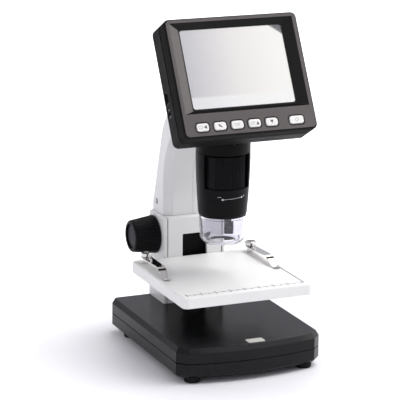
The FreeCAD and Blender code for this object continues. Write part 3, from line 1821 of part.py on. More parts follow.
pieces = {
    "base_upper_shell": base_upper_shell,
    "base_lower_shell": base_lower_shell,
    "ballast_plate": ballast_plate,
    "rubber_feet": rubber_feet,
    "base_screws": base_screws,
    "column_left_shell": column_left_shell,
    "column_right_shell": column_right_shell,
    "column_front_cover": column_front_cover,
    "column_screws": column_screws,
    "guide_rods": guide_rods,
    "guide_mounts": guide_mounts,
    "shaft_bushes": shaft_bushes,
    "arm_left_shell": arm_left_shell,
    "arm_right_shell": arm_right_shell,
    "arm_case_screws": arm_case_screws,
    "barrel_shell": barrel_shell,
    "barrel_collar": barrel_collar,
    "barrel_core": barrel_core,
    "sensor_board": sensor_board,
    "led_board": led_board,
    "leds": leds,
    "clear_cup": clear_cup,
    "hinge_bracket": hinge_bracket,
    "hinge_pin": hinge_pin,
    "hinge_screws": hinge_screws,
    "stage_plate": stage_plate,
    "stage_carriage": stage_carriage,
    "stage_rack": stage_rack,
    "carriage_bushes": carriage_bushes,
    "stage_screws": stage_screws,
    "clip_posts": clip_posts,
    "clip_left": clip_left,
    "clip_screw_left": clip_screw_left,
    "clip_right": clip_right,
    "clip_screw_right": clip_screw_right,
    "focus_shaft": focus_shaft,
    "focus_pinion": focus_pinion,
    "focus_knob_left": focus_knob_left,
    "focus_knob_right": focus_knob_right,
    "focus_knob_caps": focus_knob_caps,
    "zoom_ring": zoom_ring,
    "lens_carrier": lens_carrier,
    "objective_lens": objective_lens,
    "screen_bezel": screen_bezel,
    "screen_rear_cover": screen_rear_cover,
    "display_panel": display_panel,
    "display_window": display_window,
    "main_board": main_board,
    "battery_pack": battery_pack,
    "keypad_board": keypad_board,
    "side_sockets": side_sockets,
    "screen_case_screws": screen_case_screws,
    "hinge_knuckles": hinge_knuckles,
    "button_left": button_maker(0),
    "button_flip": button_maker(1),
    "button_ok": button_maker(2),
    "button_menu": button_maker(3),
    "button_down": button_maker(4),
    "button_power": button_maker(5),
}

os.makedirs("parts", exist_ok=True)
for name, make in pieces.items():
    shape = make()
    solids = shape.Solids
    whole = solids[0] if len(solids) == 1 else Part.makeCompound(solids)
    whole.exportStep("parts/" + name + ".step")
    print(name, len(solids), "solids")
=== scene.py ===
import bpy
import bmesh
import math
from mathutils import Matrix, Vector


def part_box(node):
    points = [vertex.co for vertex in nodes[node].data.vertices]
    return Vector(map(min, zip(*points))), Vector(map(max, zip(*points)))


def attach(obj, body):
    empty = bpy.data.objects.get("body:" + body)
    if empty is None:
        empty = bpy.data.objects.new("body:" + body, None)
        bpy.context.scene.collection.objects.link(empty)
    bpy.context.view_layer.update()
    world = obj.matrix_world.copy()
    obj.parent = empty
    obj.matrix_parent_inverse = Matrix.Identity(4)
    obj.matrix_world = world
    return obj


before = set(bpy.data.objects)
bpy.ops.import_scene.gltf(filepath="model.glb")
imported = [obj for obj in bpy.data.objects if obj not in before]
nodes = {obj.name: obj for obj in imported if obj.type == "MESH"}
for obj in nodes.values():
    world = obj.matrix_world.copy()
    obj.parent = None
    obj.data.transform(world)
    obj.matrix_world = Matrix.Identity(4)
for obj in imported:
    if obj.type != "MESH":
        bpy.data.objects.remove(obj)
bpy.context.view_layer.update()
print("frame loaded")

mm = 0.001  # the scene is in metres, and the pieces' own sizes are in mm

# The screen unit leans back; its face has its own directions across, up and out.
screenLean = math.radians(28.63)
faceAcross = Vector((1, 0, 0))
faceUp = Vector((0, math.sin(screenLean), math.cos(screenLean)))
faceOut = faceAcross.cross(faceUp)
faceTop = max(vertex.co.dot(faceOut) for vertex in nodes["screen_bezel"].data.vertices)


# The camera

def makeCamera():
    view = {"x": -0.5496, "y": -1.24865, "z": 0.4579, "turn": 23.457, "down": 14.548, "roll": 0.574,
            "sensor": 36, "lens": 194.97, "shiftX": -0.01428, "shiftY": -0.00755, "farthest": 20}
    turn, down, roll = [math.radians(view[key]) for key in ("turn", "down", "roll")]
    ahead = Vector((math.sin(turn) * math.cos(down), math.cos(turn) * math.cos(down), -math.sin(down)))
    right = Vector((math.cos(turn), -math.sin(turn), 0))
    up = right.cross(ahead)
    across = right * math.cos(roll) + up * math.sin(roll)
    upward = up * math.cos(roll) - right * math.sin(roll)
    pose = Matrix((across, upward, -ahead)).transposed().to_4x4()
    pose.translation = (view["x"], view["y"], view["z"])
    data = bpy.data.cameras.new("camera")
    data.sensor_width = view["sensor"]
    data.lens = view["lens"]
    data.shift_x = view["shiftX"]
    data.shift_y = view["shiftY"]
    data.clip_end = view["farthest"]
    camera = bpy.data.objects.new("camera", data)
    camera.matrix_world = pose
    bpy.context.scene.collection.objects.link(camera)
    bpy.context.scene.camera = camera


# Material helpers

def nodeAdder(tree):
    def add(kind, inputs=None, **settings):
        node = tree.nodes.new(kind)
        for key, value in settings.items():
            setattr(node, key, value)
        for key, value in (inputs or {}).items():
            if isinstance(value, bpy.types.NodeSocket):
                tree.links.new(value, node.inputs[key])
            else:
                node.inputs[key].default_value = value
        return node
    return add


def newMaterial(name):
    material = bpy.data.materials.new(name)
    material.use_nodes = True
    tree = material.node_tree
    shader = tree.nodes["Principled BSDF"]
    add = nodeAdder(tree)

    def join(output, key):
        tree.links.new(output, shader.inputs[key])

    return material, shader, add, join


def grey(value):
    return (value, value, value, 1)


def shade(colour, factor):
    return [min(1, channel * factor) for channel in colour[:3]] + [1]


def ramp(add, factor, *stops):
    # Each stop is a place on the ramp and the colour there.
    node = add("ShaderNodeValToRGB", {"Fac": factor})
    elements = node.color_ramp.elements
    while len(elements) < len(stops):
        elements.new(0.5)
    for element, (place, colour) in zip(elements, stops):
        element.position = place
        element.color = colour
    return node.outputs["Color"]


def objectPlace(add):
    return add("ShaderNodeTexCoord").outputs["Object"]


def noise(add, place, scale, detail, rough=0.5):
    texture = add("ShaderNodeTexNoise", {"Vector": place, "Scale": scale, "Detail": detail,
                                         "Roughness": rough})
    return texture.outputs["Fac"]


def combine(add, operation, first, second):
    return add("ShaderNodeMath", {0: first, 1: second}, operation=operation).outputs["Value"]


def along(add, vector, axis):
    # How far a vector reaches along an axis.
    return add("ShaderNodeVectorMath", {0: vector, 1: tuple(axis)}, operation="DOT_PRODUCT").outputs["Value"]


def rescale(add, value, fromRange, toRange=(0, 1), curve="LINEAR"):
    # Carries a value from one range over to another.
    node = add("ShaderNodeMapRange", {"Value": value, "From Min": fromRange[0], "From Max": fromRange[1],
                                      "To Min": toRange[0], "To Max": toRange[1]}, interpolation_type=curve)
    return node.outputs["Result"]


def mix(add, factor, first, second, kind="RGBA"):
    node = add("ShaderNodeMix", {"Factor": factor, "A": first, "B": second}, data_type=kind)
    return node.outputs["Result"]


def softBump(add, join, height, strength, distance, edge):
    # Fine relief over edges that look rounded; the distance and the edge are in mm.
    rounded = add("ShaderNodeBevel", {"Radius": edge * mm}, samples=4).outputs["Normal"]
    bump = add("ShaderNodeBump", {"Height": height, "Strength": strength, "Distance": distance * mm,
                                  "Normal": rounded})
    join(bump.outputs["Normal"], "Normal")


def plastic(name, colour, rough, grain=900, depth=0.04, vary=0.06, edge=0.25, shine=0.5):
    # Moulded plastic: clouded colour, smears in the gloss and a fine grain.
    worn = 0.12
    material, shader, add, join = newMaterial(name)
    place = objectPlace(add)
    cloud = noise(add, place, scale=28, detail=4)
    fine = noise(add, place, scale=grain, detail=3)
    smear = noise(add, place, scale=75, detail=6, rough=0.7)
    join(ramp(add, cloud, (0.3, shade(colour, 1 - vary)), (0.7, shade(colour, 1 + vary))), "Base Color")
    join(ramp(add, smear, (0.35, grey(rough * (1 - worn))), (0.7, grey(rough * (1 + worn)))), "Roughness")
    softBump(add, join, fine, strength=depth, distance=0.2, edge=edge)
    shader.inputs["Specular IOR Level"].default_value = shine
    return material


def metal(name, colour, rough, grain, stretch, depth=0.05):
    # Metal with fine lines, drawn out as stretch says, and a hazy gloss.
    material, shader, add, join = newMaterial(name)
    place = objectPlace(add)
    lines = add("ShaderNodeMapping", {"Vector": place, "Scale": stretch}).outputs["Vector"]
    brush = noise(add, lines, scale=grain, detail=4)
    haze = noise(add, place, scale=120, detail=5)
    join(ramp(add, brush, (0.3, shade(colour, 0.9)), (0.7, shade(colour, 1.08))), "Base Color")
    join(ramp(add, haze, (0.3, grey(rough * 0.75)), (0.7, grey(rough * 1.3))), "Roughness")
    softBump(add, join, brush, strength=depth, distance=0.1, edge=0.15)
    shader.inputs["Metallic"].default_value = 1
    return material


def clearPlastic(name, colour, rough, scale, bend):
    material, shader, add, join = newMaterial(name)
    flow = noise(add, objectPlace(add), scale=scale, detail=2)
    join(ramp(add, flow, (0.3, shade(colour, 0.97)), (0.7, shade(colour, 1))), "Base Color")
    join(ramp(add, flow, (0.3, grey(rough)), (0.7, grey(rough * 2))), "Roughness")
    bump = add("ShaderNodeBump", {"Height": flow, "Strength": 0.05, "Distance": 0.2 * mm})
    join(bump.outputs["Normal"], "Normal")
    shader.inputs["Transmission Weight"].default_value = 1
    shader.inputs["IOR"].default_value = bend
    return material


def dress(material, *names):
    for name in names:
        slots = nodes[name].data.materials
        for index in range(len(slots)):
            slots[index] = material
        if not slots:
            slots.append(material)


# Mesh helpers

def addPiece(name, mesh, material, body):
    # Puts a mesh in the scene as a piece that moves with a body.
    data = bpy.data.meshes.new(name)
    bmesh.ops.recalc_face_normals(mesh, faces=mesh.faces)
    mesh.to_mesh(data)
    mesh.free()
    data.materials.append(material)
    piece = bpy.data.objects.new(name, data)
    bpy.context.scene.collection.objects.link(piece)
    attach(piece, body)


def wall(mesh, first, second):
    # The faces between two loops of as many points.
    for index in range(len(first)):
        after = (index + 1) % len(first)
        mesh.faces.new((first[index], first[after], second[after], second[index]))


def prism(mesh, outline, place, low, high):
    # A closed tile from its outline; place(a, b, h) gives the point at height h over the surface.
    under = [mesh.verts.new(place(a, b, low)) for a, b in outline]
    over = [mesh.verts.new(place(a, b, high)) for a, b in outline]
    mesh.faces.new(over)
    mesh.faces.new(under[::-1])
    wall(mesh, under, over)


def band(mesh, sections, place, low, high):
    # A strip that follows a surface: each section is (place along it, lower edge, upper edge).
    rings = [[mesh.verts.new(place(*corner)) for corner in
              ((at, first, low), (at, last, low), (at, last, high), (at, first, high))]
             for at, first, last in sections]
    mesh.faces.new(rings[0])
    mesh.faces.new(rings[-1][::-1])
    for here, after in zip(rings, rings[1:]):
        wall(mesh, here, after)


def frameRing(mesh, inner, outer, place, low, high):
    # A closed ring between two outlines of as many points.
    loops = [[mesh.verts.new(place(a, b, h)) for a, b in outline]
             for outline, h in ((inner, low), (outer, low), (outer, high), (inner, high))]
    for first, second in zip(loops, loops[1:] + loops[:1]):
        wall(mesh, first, second)


def flatPlace(origin, across, up, out):
    return lambda a, b, h: origin + (across * a + up * b + out * h) * mm


def levelPlace(origin):
    return flatPlace(origin, Vector((1, 0, 0)), Vector((0, 1, 0)), Vector((0, 0, 1)))


def facePlace(origin):
    return flatPlace(origin, faceAcross, faceUp, faceOut)


def stroke(start, end, wide):
    first, last = Vector(start), Vector(end)
    ahead = (last - first).normalized()
    side = Vector((-ahead.y, ahead.x)) * wide / 2
    return [first - side, last - side, last + side, first + side]


def arcStrokes(radius, start, end, wide, steps=16):
    # Short strokes end to end along part of a circle round (0, 0).
    angles = [math.radians(start + (end - start) * step / steps) for step in range(steps + 1)]
    points = [Vector((radius * math.cos(angle), radius * math.sin(angle))) for angle in angles]
    return [stroke(here, after, wide) for here, after in zip(points, points[1:])]


def boxStrokes(left, right, low, high, wide):
    corners = [(left, low), (right, low), (right, high), (left, high)]
    return [stroke(here, after, wide) for here, after in zip(corners, corners[1:] + corners[:1])]


def roundedOutline(left, right, low, high, radius, steps=5):
    middles = [(right - radius, low + radius, -90), (right - radius, high - radius, 0),
               (left + radius, high - radius, 90), (left + radius, low + radius, 180)]
    outline = []
    for a, b, start in middles:
        for step in range(steps + 1):
            angle = math.radians(start + 90 * step / steps)
            outline.append((a + radius * math.cos(angle), b + radius * math.sin(angle)))
    return outline


def marks(name, outlines, place, material, body, low=-0.05, high=0.03):
    mesh = bmesh.new()
    for outline in outlines:
        prism(mesh, outline, place, low, high)
    addPiece(name, mesh, material, body)


def surfaceAt(node, start, direction):
    hit, point = nodes[node].ray_cast(start, direction)[:2]
    if not hit:
        raise ValueError("nothing of " + node + " lies under a mark")
    return point


def faceMiddle(node):
    # The middle of a piece of the screen unit, on its outermost plane.
    points = [vertex.co for vertex in nodes[node].data.vertices]
    spans = [[point.dot(axis) for point in points] for axis in (faceAcross, faceUp, faceOut)]
    across, up = [(min(span) + max(span)) / 2 for span in spans[:2]]
    return faceAcross * across + faceUp * up + faceOut * max(spans[2])


def screwHeads(node, axis):
    # The middle of each screw's head, on its outer face along the axis.
    close = {"weld": 0.001, "rim": 0.01}
    mesh = bmesh.new()
    mesh.from_mesh(nodes[node].data)
    bmesh.ops.remove_doubles(mesh, verts=mesh.verts, dist=close["weld"] * mm)
    seen = set()
    middles = []
    for start in mesh.verts:
        if start in seen:
            continue
        seen.add(start)
        queue = [start]
        screw = []
        while queue:
            vertex = queue.pop()
            screw.append(vertex.co.copy())
            for edge in vertex.link_edges:
                other = edge.other_vert(vertex)
                if other not in seen:
                    seen.add(other)
                    queue.append(other)
        top = max(point.dot(axis) for point in screw)
        rim = [point for point in screw if point.dot(axis) > top - close["rim"] * mm]
        low = Vector([min(point[index] for point in rim) for index in range(3)])
        high = Vector([max(point[index] for point in rim) for index in range(3)])
        middles.append((low + high) / 2)
    mesh.free()
    return middles


# The base and the column

def dressStand():
    black = plastic("baseBlack", (0.006, 0.006, 0.0068), rough=0.24, grain=700, depth=0.05, vary=0.2,
                    edge=0.5, shine=0.2)
    dress(black, "base_upper_shell", "base_lower_shell")
    white = plastic("shellWhite", (0.85, 0.845, 0.84), rough=0.34, grain=800, depth=0.03, vary=0.012,
                    edge=0.4)
    dress(white, "column_left_shell", "column_right_shell", "column_front_cover",
          "arm_left_shell", "arm_right_shell")
    rubber = plastic("footRubber", (0.01, 0.01, 0.01), rough=0.8, grain=500, depth=0.2, vary=0.25,
                     shine=0.15)
    dress(rubber, "rubber_feet")
    dark = plastic("darkMoulding", (0.007, 0.007, 0.008), rough=0.6, grain=1200, depth=0.1, vary=0.2,
                   shine=0.1)
    dress(dark, "guide_mounts", "stage_carriage")
    steel = metal("plainSteel", (0.5, 0.5, 0.51), rough=0.38, grain=900, stretch=(1, 1, 0.1))
    dress(steel, "ballast_plate", "hinge_bracket", "hinge_knuckles")
    ground = metal("groundSteel", (0.7, 0.7, 0.71), rough=0.2, grain=1400, stretch=(1, 1, 6))
    dress(ground, "guide_rods", "focus_shaft", "hinge_pin")
    screwSteel = metal("screwSteel", (0.42, 0.42, 0.43), rough=0.36, grain=1600, stretch=(1, 1, 1))
    dress(screwSteel, "base_screws", "column_screws", "arm_case_screws", "hinge_screws",
          "stage_screws", "screen_case_screws")
    brass = metal("bushBrass", (0.7, 0.52, 0.24), rough=0.32, grain=1500, stretch=(1, 1, 8))
    dress(brass, "shaft_bushes", "carriage_bushes")


def makePlate():
    # The small bare plate near the front edge of the base.
    plate = {"x": 2.3, "y": -58.2, "above": 60, "wide": 11.5, "deep": 6.6, "round": 1.0, "high": 0.5,
             "sink": 0.3}
    above = Vector((plate["x"], plate["y"], plate["above"])) * mm
    origin = surfaceAt("base_upper_shell", above, Vector((0, 0, -1)))
    half, deep = plate["wide"] / 2, plate["deep"] / 2
    silver = plastic("plateSilver", (0.62, 0.61, 0.56), rough=0.35, grain=1200, depth=0.08, vary=0.04)
    outline = roundedOutline(-half, half, -deep, deep, plate["round"])
    marks("base_plate", [outline], levelPlace(origin), silver, "stand",
          -plate["sink"], plate["high"])


def makeScrewCrosses():
    # The cross in each screw's head, as painted shade on the head; each row is node, body, outward and
    # across.
    cross = {"long": 1.9, "wide": 0.5, "high": 0.02}
    screws = [("arm_case_screws", "stand", Vector((-1, 0, 0)), Vector((0, 1, 0))),
              ("base_screws", "stand", Vector((0, 0, -1)), Vector((1, 0, 0))),
              ("screen_case_screws", "screen", -faceOut, faceAcross)]
    half, wide, high = cross["long"] / 2, cross["wide"], cross["high"]
    bars = [stroke((-half, 0), (half, 0), wide), stroke((0, -half), (0, half), wide)]
    # Painted shade: each cross is a flat dark mark standing in for the shade in the recess.
    dark = plastic("paintedRecessShade", (0.015, 0.015, 0.015), rough=0.8, grain=1500, depth=0.1, vary=0.2,
                   shine=0.2)
    for node, body, out, across in screws:
        mesh = bmesh.new()
        for middle in screwHeads(node, out):
            for bar in bars:
                prism(mesh, bar, flatPlace(middle, across, out.cross(across), out), -high, high)
        addPiece(node + "_crosses", mesh, dark, body)


# The stage, its drive and its clips

def dressStage():
    white = plastic("stageWhite", (0.9, 0.895, 0.88), rough=0.42, grain=1000, depth=0.05, vary=0.01,
                    edge=0.4)
    dress(white, "stage_plate")
    nylon = plastic("gearPlastic", (0.78, 0.76, 0.68), rough=0.5, grain=1200, depth=0.05)
    dress(nylon, "focus_pinion", "stage_rack")
    dress(chrome("clipChrome"), "clip_posts", "clip_screw_left", "clip_screw_right")
    dress(stripChrome(), "clip_left", "clip_right")
    knob = plastic("knobBlack", (0.007, 0.007, 0.008), rough=0.45, grain=1500, depth=0.08, vary=0.2,
                   edge=0.2, shine=0.1)
    dress(knob, "focus_knob_left", "focus_knob_right", "zoom_ring")
    cap = plastic("capGrey", (0.032, 0.03, 0.038), rough=0.5, grain=1500, depth=0.05, vary=0.08,
                  shine=0.15)
    dress(cap, "focus_knob_caps")


def chrome(name):
    return metal(name, (0.72, 0.71, 0.7), rough=0.09, grain=500, stretch=(3, 0.3, 1), depth=0.02)


def stripChrome():
    # The clips' chrome, with a painted dark reflection in a line across each strip on its slope to the tip.
    line = {"postX": 37.7, "postY": 28.15, "away": 32, "half": 0.85, "colour": (0.06, 0.048, 0.042, 1)}
    material = chrome("clipStrip")
    tree = material.node_tree
    base = tree.nodes["Principled BSDF"].inputs["Base Color"]
    add = nodeAdder(tree)
    parts = add("ShaderNodeSeparateXYZ", {"Vector": objectPlace(add)}).outputs
    sideways = add("ShaderNodeMath", {0: parts["X"]}, operation="ABSOLUTE").outputs["Value"]
    flat = add("ShaderNodeCombineXYZ", {"X": sideways, "Y": parts["Y"]}).outputs["Vector"]
    post = (line["postX"] * mm, line["postY"] * mm, 0)
    away = add("ShaderNodeVectorMath", {0: flat, 1: post}, operation="DISTANCE").outputs["Value"]
    # Painted reflection: the strip goes dark in a band at the given distance from its post.
    paintedCreaseReflection = add("ShaderNodeMath", {0: away, 1: line["away"] * mm, 2: line["half"] * mm},
                  operation="COMPARE").outputs["Value"]
    tree.links.new(mix(add, paintedCreaseReflection, base.links[0].from_socket, line["colour"]), base)
    return material


def makeStageMarks():
    # A ruler along the front of the stage and a line along its right side.
    ruler = {"left": -41.5, "right": 40, "y": -49.2, "above": 90, "line": 0.42, "tick": 10, "ticks": 8,
             "reach": 2.4, "minor": 5, "minorReach": 1.4, "tickWide": 0.5}
    side = {"x": 40.2, "back": -4, "line": 0.8}
    y, reach, tickWide = ruler["y"], ruler["reach"], ruler["tickWide"]
    top = surfaceAt("stage_plate", Vector((0, y, ruler["above"])) * mm, Vector((0, 0, -1))).z
    place = levelPlace(Vector((0, 0, top)))
    strokes = [stroke((ruler["left"], y), (ruler["right"], y), ruler["line"])]
    for index in range(ruler["ticks"] + 1):
        x = ruler["left"] + ruler["tick"] * index
        strokes.append(stroke((x, y - reach), (x, y + reach), tickWide))
        if index < ruler["ticks"]:
            between = x + ruler["minor"]
            strokes.append(stroke((between, y - ruler["minorReach"]), (between, y), tickWide))
    ink = plastic("rulerInk", (0.07, 0.07, 0.08), rough=0.5, grain=1800, depth=0.05, vary=0.15)
    marks("stage_ruler", strokes, place, ink, "stage")
    darkInk = plastic("lineInk", (0.04, 0.04, 0.045), rough=0.5, grain=1800, depth=0.05, vary=0.15)
    marks("stage_side_line", [stroke((side["x"], y), (side["x"], side["back"]), side["line"])], place,
          darkInk, "stage")


# The barrel

barrel = {"axisY": -9.45, "outside": 50}  # its axis, and a distance that is well outside its shell


def dressBarrel():
    dress(barrelBlack("barrelBlack", edge=0.3), "barrel_shell", "barrel_collar")
    tube = metal("darkAnodised", (0.05, 0.052, 0.06), rough=0.3, grain=260, stretch=(0.02, 0.02, 1))
    dress(tube, "barrel_core", "lens_carrier")
    board = plastic("boardGreen", (0.02, 0.14, 0.06), rough=0.35, grain=600, depth=0.1, vary=0.2)
    dress(board, "sensor_board", "main_board", "keypad_board")
    boardWhite = plastic("boardWhite", (0.75, 0.75, 0.74), rough=0.4, grain=900, depth=0.05)
    dress(boardWhite, "led_board")
    dress(lampYellow(), "leds")
    cup = clearPlastic("cupClear", (0.8, 0.79, 0.845), rough=0.03, scale=300, bend=1.4)
    dress(cup, "clear_cup")
    glass = clearPlastic("lensGlass", (0.85, 0.92, 0.98), rough=0.02, scale=60, bend=1.5)
    dress(glass, "objective_lens")


def barrelBlack(name, edge=0.25):
    return plastic(name, (0.005, 0.005, 0.0055), rough=0.36, grain=1400, depth=0.06, vary=0.2, edge=edge,
                   shine=0.09)


def lampYellow():
    material, shader, add, join = newMaterial("lampLens")
    spots = noise(add, objectPlace(add), scale=900, detail=2)
    join(ramp(add, spots, (0.4, (0.95, 0.9, 0.7, 1)), (0.65, (1, 0.97, 0.9, 1))), "Base Color")
    join(ramp(add, spots, (0.3, grey(0.15)), (0.7, grey(0.3))), "Roughness")
    shader.inputs["Transmission Weight"].default_value = 0.4
    return material


def roundBarrel(node):
    # Places on a round piece by angle from the front to the right, in degrees, and by height, in mm.
    def place(angle, z, h):
        turn = math.radians(angle)
        out = Vector((math.sin(turn), -math.cos(turn), 0))
        start = Vector((0, barrel["axisY"], z)) * mm + out * (barrel["outside"] * mm)
        return surfaceAt(node, start, -out) + out * (h * mm)
    return place


def sectionsBetween(start, end, low, high, wide, steps):
    # The sections of a strip whose middle climbs from low to high.
    sections = []
    for step in range(steps + 1):
        middle = low + (high - low) * step / steps
        sections.append((start + (end - start) * step / steps, middle - wide / 2, middle + wide / 2))
    return sections


def makeZoomMarks():
    # A long arrow with two heads under the ring's window, between a minus and a plus.
    zoom = {"from": -22, "to": 21, "low": 108.6, "high": 109.4, "wide": 0.24, "head": 0.75, "headLong": 5,
            "sink": 0.02, "rise": 0.02}
    minus = {"from": -35, "to": -27, "z": 110.2}
    plus = {"at": 29, "z": 110.0, "half": 0.9}
    place = roundBarrel("barrel_shell")
    perDegree = math.radians(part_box("barrel_shell")[1].x / mm)  # mm along the shell for each degree
    low, high, wide, head = zoom["low"], zoom["high"], zoom["wide"], zoom["head"]
    at, z, half, thin = plus["at"], plus["z"], plus["half"] / perDegree, wide / 2 / perDegree
    strips = [sectionsBetween(zoom["from"], zoom["to"], low, high, wide, steps=14),
              sectionsBetween(minus["from"], minus["to"], minus["z"], minus["z"], wide, steps=3),
              sectionsBetween(at - half, at + half, z, z, wide, steps=2),
              sectionsBetween(at - thin, at + thin, z, z, 2 * plus["half"], steps=1)]
    mesh = bmesh.new()
    for strip in strips:
        band(mesh, strip, place, -zoom["sink"], zoom["rise"])
    for tip, end, level in ((zoom["from"] - zoom["headLong"], zoom["from"], low),
                            (zoom["to"] + zoom["headLong"], zoom["to"], high)):
        arrow = [(tip, level), (end, level - head), (end, level + head)]
        prism(mesh, arrow, place, -zoom["sink"], zoom["rise"])
    white = plastic("markWhite", (0.75, 0.75, 0.75), rough=0.5, grain=1500, depth=0.05, vary=0.05)
    addPiece("zoom_marks", mesh, white, "stand")


def makeCollarTrim():
    # A thin black lip where the collar meets the white nose; it starts just beside the seam of the arm.
    trim = {"reach": 84, "step": 4, "seam": 0.3, "noseDeep": 5, "low": 0.05, "high": 2.2, "sink": 0.1,
            "rise": 0.25}
    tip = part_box("arm_left_shell")[0].y + trim["noseDeep"] * mm
    bottom = min(vertex.co.z for vertex in nodes["arm_left_shell"].data.vertices if vertex.co.y < tip) / mm
    mesh = bmesh.new()
    for node, side in (("arm_left_shell", -1), ("arm_right_shell", 1)):
        angles = [side * max(angle, trim["seam"]) for angle in range(0, trim["reach"] + 1, trim["step"])]
        sections = [(angle, bottom + trim["low"], bottom + trim["high"]) for angle in angles]
        band(mesh, sections, roundBarrel(node), -trim["sink"], trim["rise"])
    addPiece("collar_trim", mesh, barrelBlack("trimBlack"), "stand")


# The screen unit

def dressScreen():
    dress(bezelSatinPaintedLightAndShade(), "screen_bezel")
    body = plastic("headBlack", (0.0045, 0.0042, 0.0042), rough=0.5, grain=1100, depth=0.06, vary=0.1,
                   edge=0.5, shine=0.1)
    dress(body, "screen_rear_cover")
    dress(litPanel(), "display_panel")
    dress(clearWindow(), "display_window")
    wrap = plastic("batteryWrap", (0.1, 0.16, 0.28), rough=0.25, grain=300, depth=0.1)
    dress(wrap, "battery_pack")
    socket = metal("socketMetal", (0.16, 0.16, 0.165), rough=0.4, grain=800, stretch=(1, 1, 1))
    dress(socket, "side_sockets")
    key = plastic("keyCream", (0.8, 0.79, 0.76), rough=0.4, grain=1500, depth=0.04, vary=0.02, edge=0.4)
    dress(key, "button_left", "button_flip", "button_ok", "button_menu", "button_down", "button_power")


def bezelSatinPaintedLightAndShade():
    # Warm satin grey on the flat face and black on the other slopes and the sides; a painted highlight makes
    # the recess's left wall warm grey, and a painted shade makes its lower wall deepest black.
    bezel = {"satin": [(0.1, 0.089, 0.088, 1), (0.114, 0.102, 0.1, 1)],
             "gloss": [(0.006, 0.0058, 0.0056, 1), (0.009, 0.0086, 0.0082, 1)],
             "leftWallPaintedLight": (0.1, 0.088, 0.087, 1), "lowWallPaintedShade": (0.001, 0.001, 0.001, 1), "leftOf": -20,
             "leftTurn": (0.2, 0.32), "lowTurn": (0.4, 0.6), "shine": 0.17}
    material, shader, add, join = newMaterial("bezelFace")
    coordinates = add("ShaderNodeTexCoord").outputs
    place, normal = coordinates["Object"], coordinates["Normal"]
    facing = along(add, normal, faceOut)
    flat = ramp(add, facing, (0.93, grey(0)), (0.985, grey(1)))
    cloud = noise(add, place, scale=30, detail=4)
    fine = noise(add, place, scale=1300, detail=3)
    satin, gloss = [ramp(add, cloud, (0.3, bezel[key][0]), (0.7, bezel[key][1]))
                    for key in ("satin", "gloss")]
    # Painted highlight: the recess's left wall, which faces the light, takes a warm grey.
    onLeft = combine(add, "LESS_THAN", along(add, place, faceAcross), bezel["leftOf"] * mm)
    turnedRight = rescale(add, along(add, normal, faceAcross), bezel["leftTurn"])
    leftWallPaintedLight = combine(add, "MULTIPLY", turnedRight, onLeft)
    # Painted shade: the recess's lower wall goes deepest black.
    below = combine(add, "LESS_THAN", along(add, place, faceUp), faceMiddle("screen_bezel").dot(faceUp))
    turnedUp = rescale(add, along(add, normal, faceUp), bezel["lowTurn"])
    lowWallPaintedShade = combine(add, "MULTIPLY", turnedUp, below)
    colour = mix(add, flat, mix(add, leftWallPaintedLight, gloss, bezel["leftWallPaintedLight"]), satin)
    join(mix(add, lowWallPaintedShade, colour, bezel["lowWallPaintedShade"]), "Base Color")
    rough = ramp(add, facing, (0.3, grey(0.8)), (0.6, grey(0.3)), (0.93, grey(0.3)), (0.985, grey(0.5)))
    worn = combine(add, "MULTIPLY", rough, rescale(add, cloud, (0, 1), (0.88, 1.12)))
    join(combine(add, "MAXIMUM", worn, lowWallPaintedShade), "Roughness")
    softBump(add, join, fine, strength=0.08, distance=0.2, edge=0.4)
    shader.inputs["Specular IOR Level"].default_value = bezel["shine"]
    return material


def litPanel():
    # The lit panel: cooler on the left, brighter on the right, with a lighter strip along its foot and a
    # painted reflection that darkens its upper right corner.
    panel = {"halfAcross": 37, "halfUp": 28, "left": (0.54, 0.53, 0.57, 1), "middle": (0.86, 0.83, 0.82, 1),
             "right": (0.99, 0.97, 0.94, 1), "foot": (0.98, 0.98, 1, 1), "corner": (0.1, 0.095, 0.115, 1),
             "glow": 0.82}
    material, shader, add, join = newMaterial("panelLit")
    place = objectPlace(add)
    middle = faceMiddle("display_panel")
    shares = []
    for axis, half in ((faceAcross, panel["halfAcross"] * mm), (faceUp, panel["halfUp"] * mm)):
        centre = middle.dot(axis)
        shares.append(rescale(add, along(add, place, axis), (centre - half, centre + half)))
    right, high = shares
    wash = ramp(add, right, (0.05, panel["left"]), (0.5, panel["middle"]), (0.9, panel["right"]))
    foot = ramp(add, high, (0.17, grey(0.55)), (0.2, grey(0)))
    # Painted reflection: the upper right corner goes dark.
    slant = combine(add, "MULTIPLY", combine(add, "ADD", right, high), 0.5)
    corner = ramp(add, slant, (0.91, grey(0)), (0.925, grey(1)))
    join(mix(add, corner, mix(add, foot, wash, panel["foot"]), panel["corner"]), "Emission Color")
    shader.inputs["Emission Strength"].default_value = panel["glow"]
    dots = noise(add, place, scale=2500, detail=1)
    join(ramp(add, dots, (0.3, grey(0.14)), (0.7, grey(0.2))), "Base Color")
    join(ramp(add, dots, (0.3, grey(0.5)), (0.7, grey(0.65))), "Roughness")
    return material


def clearWindow():
    # Clear, with only the gloss of its face.
    material, _, add, _ = newMaterial("windowClear")
    tree = material.node_tree
    smear = noise(add, objectPlace(add), scale=40, detail=5)
    rough = ramp(add, smear, (0.4, grey(0.04)), (0.7, grey(0.12)))
    gloss = add("ShaderNodeBsdfGlossy", {"Roughness": rough})
    through = add("ShaderNodeBsdfTransparent")
    face = add("ShaderNodeFresnel", {"IOR": 1.45})
    mixed = add("ShaderNodeMixShader", {0: face.outputs["Fac"], 1: through.outputs["BSDF"],
                                        2: gloss.outputs["BSDF"]})
    tree.links.new(mixed.outputs["Shader"], tree.nodes["Material Output"].inputs["Surface"])
    return material


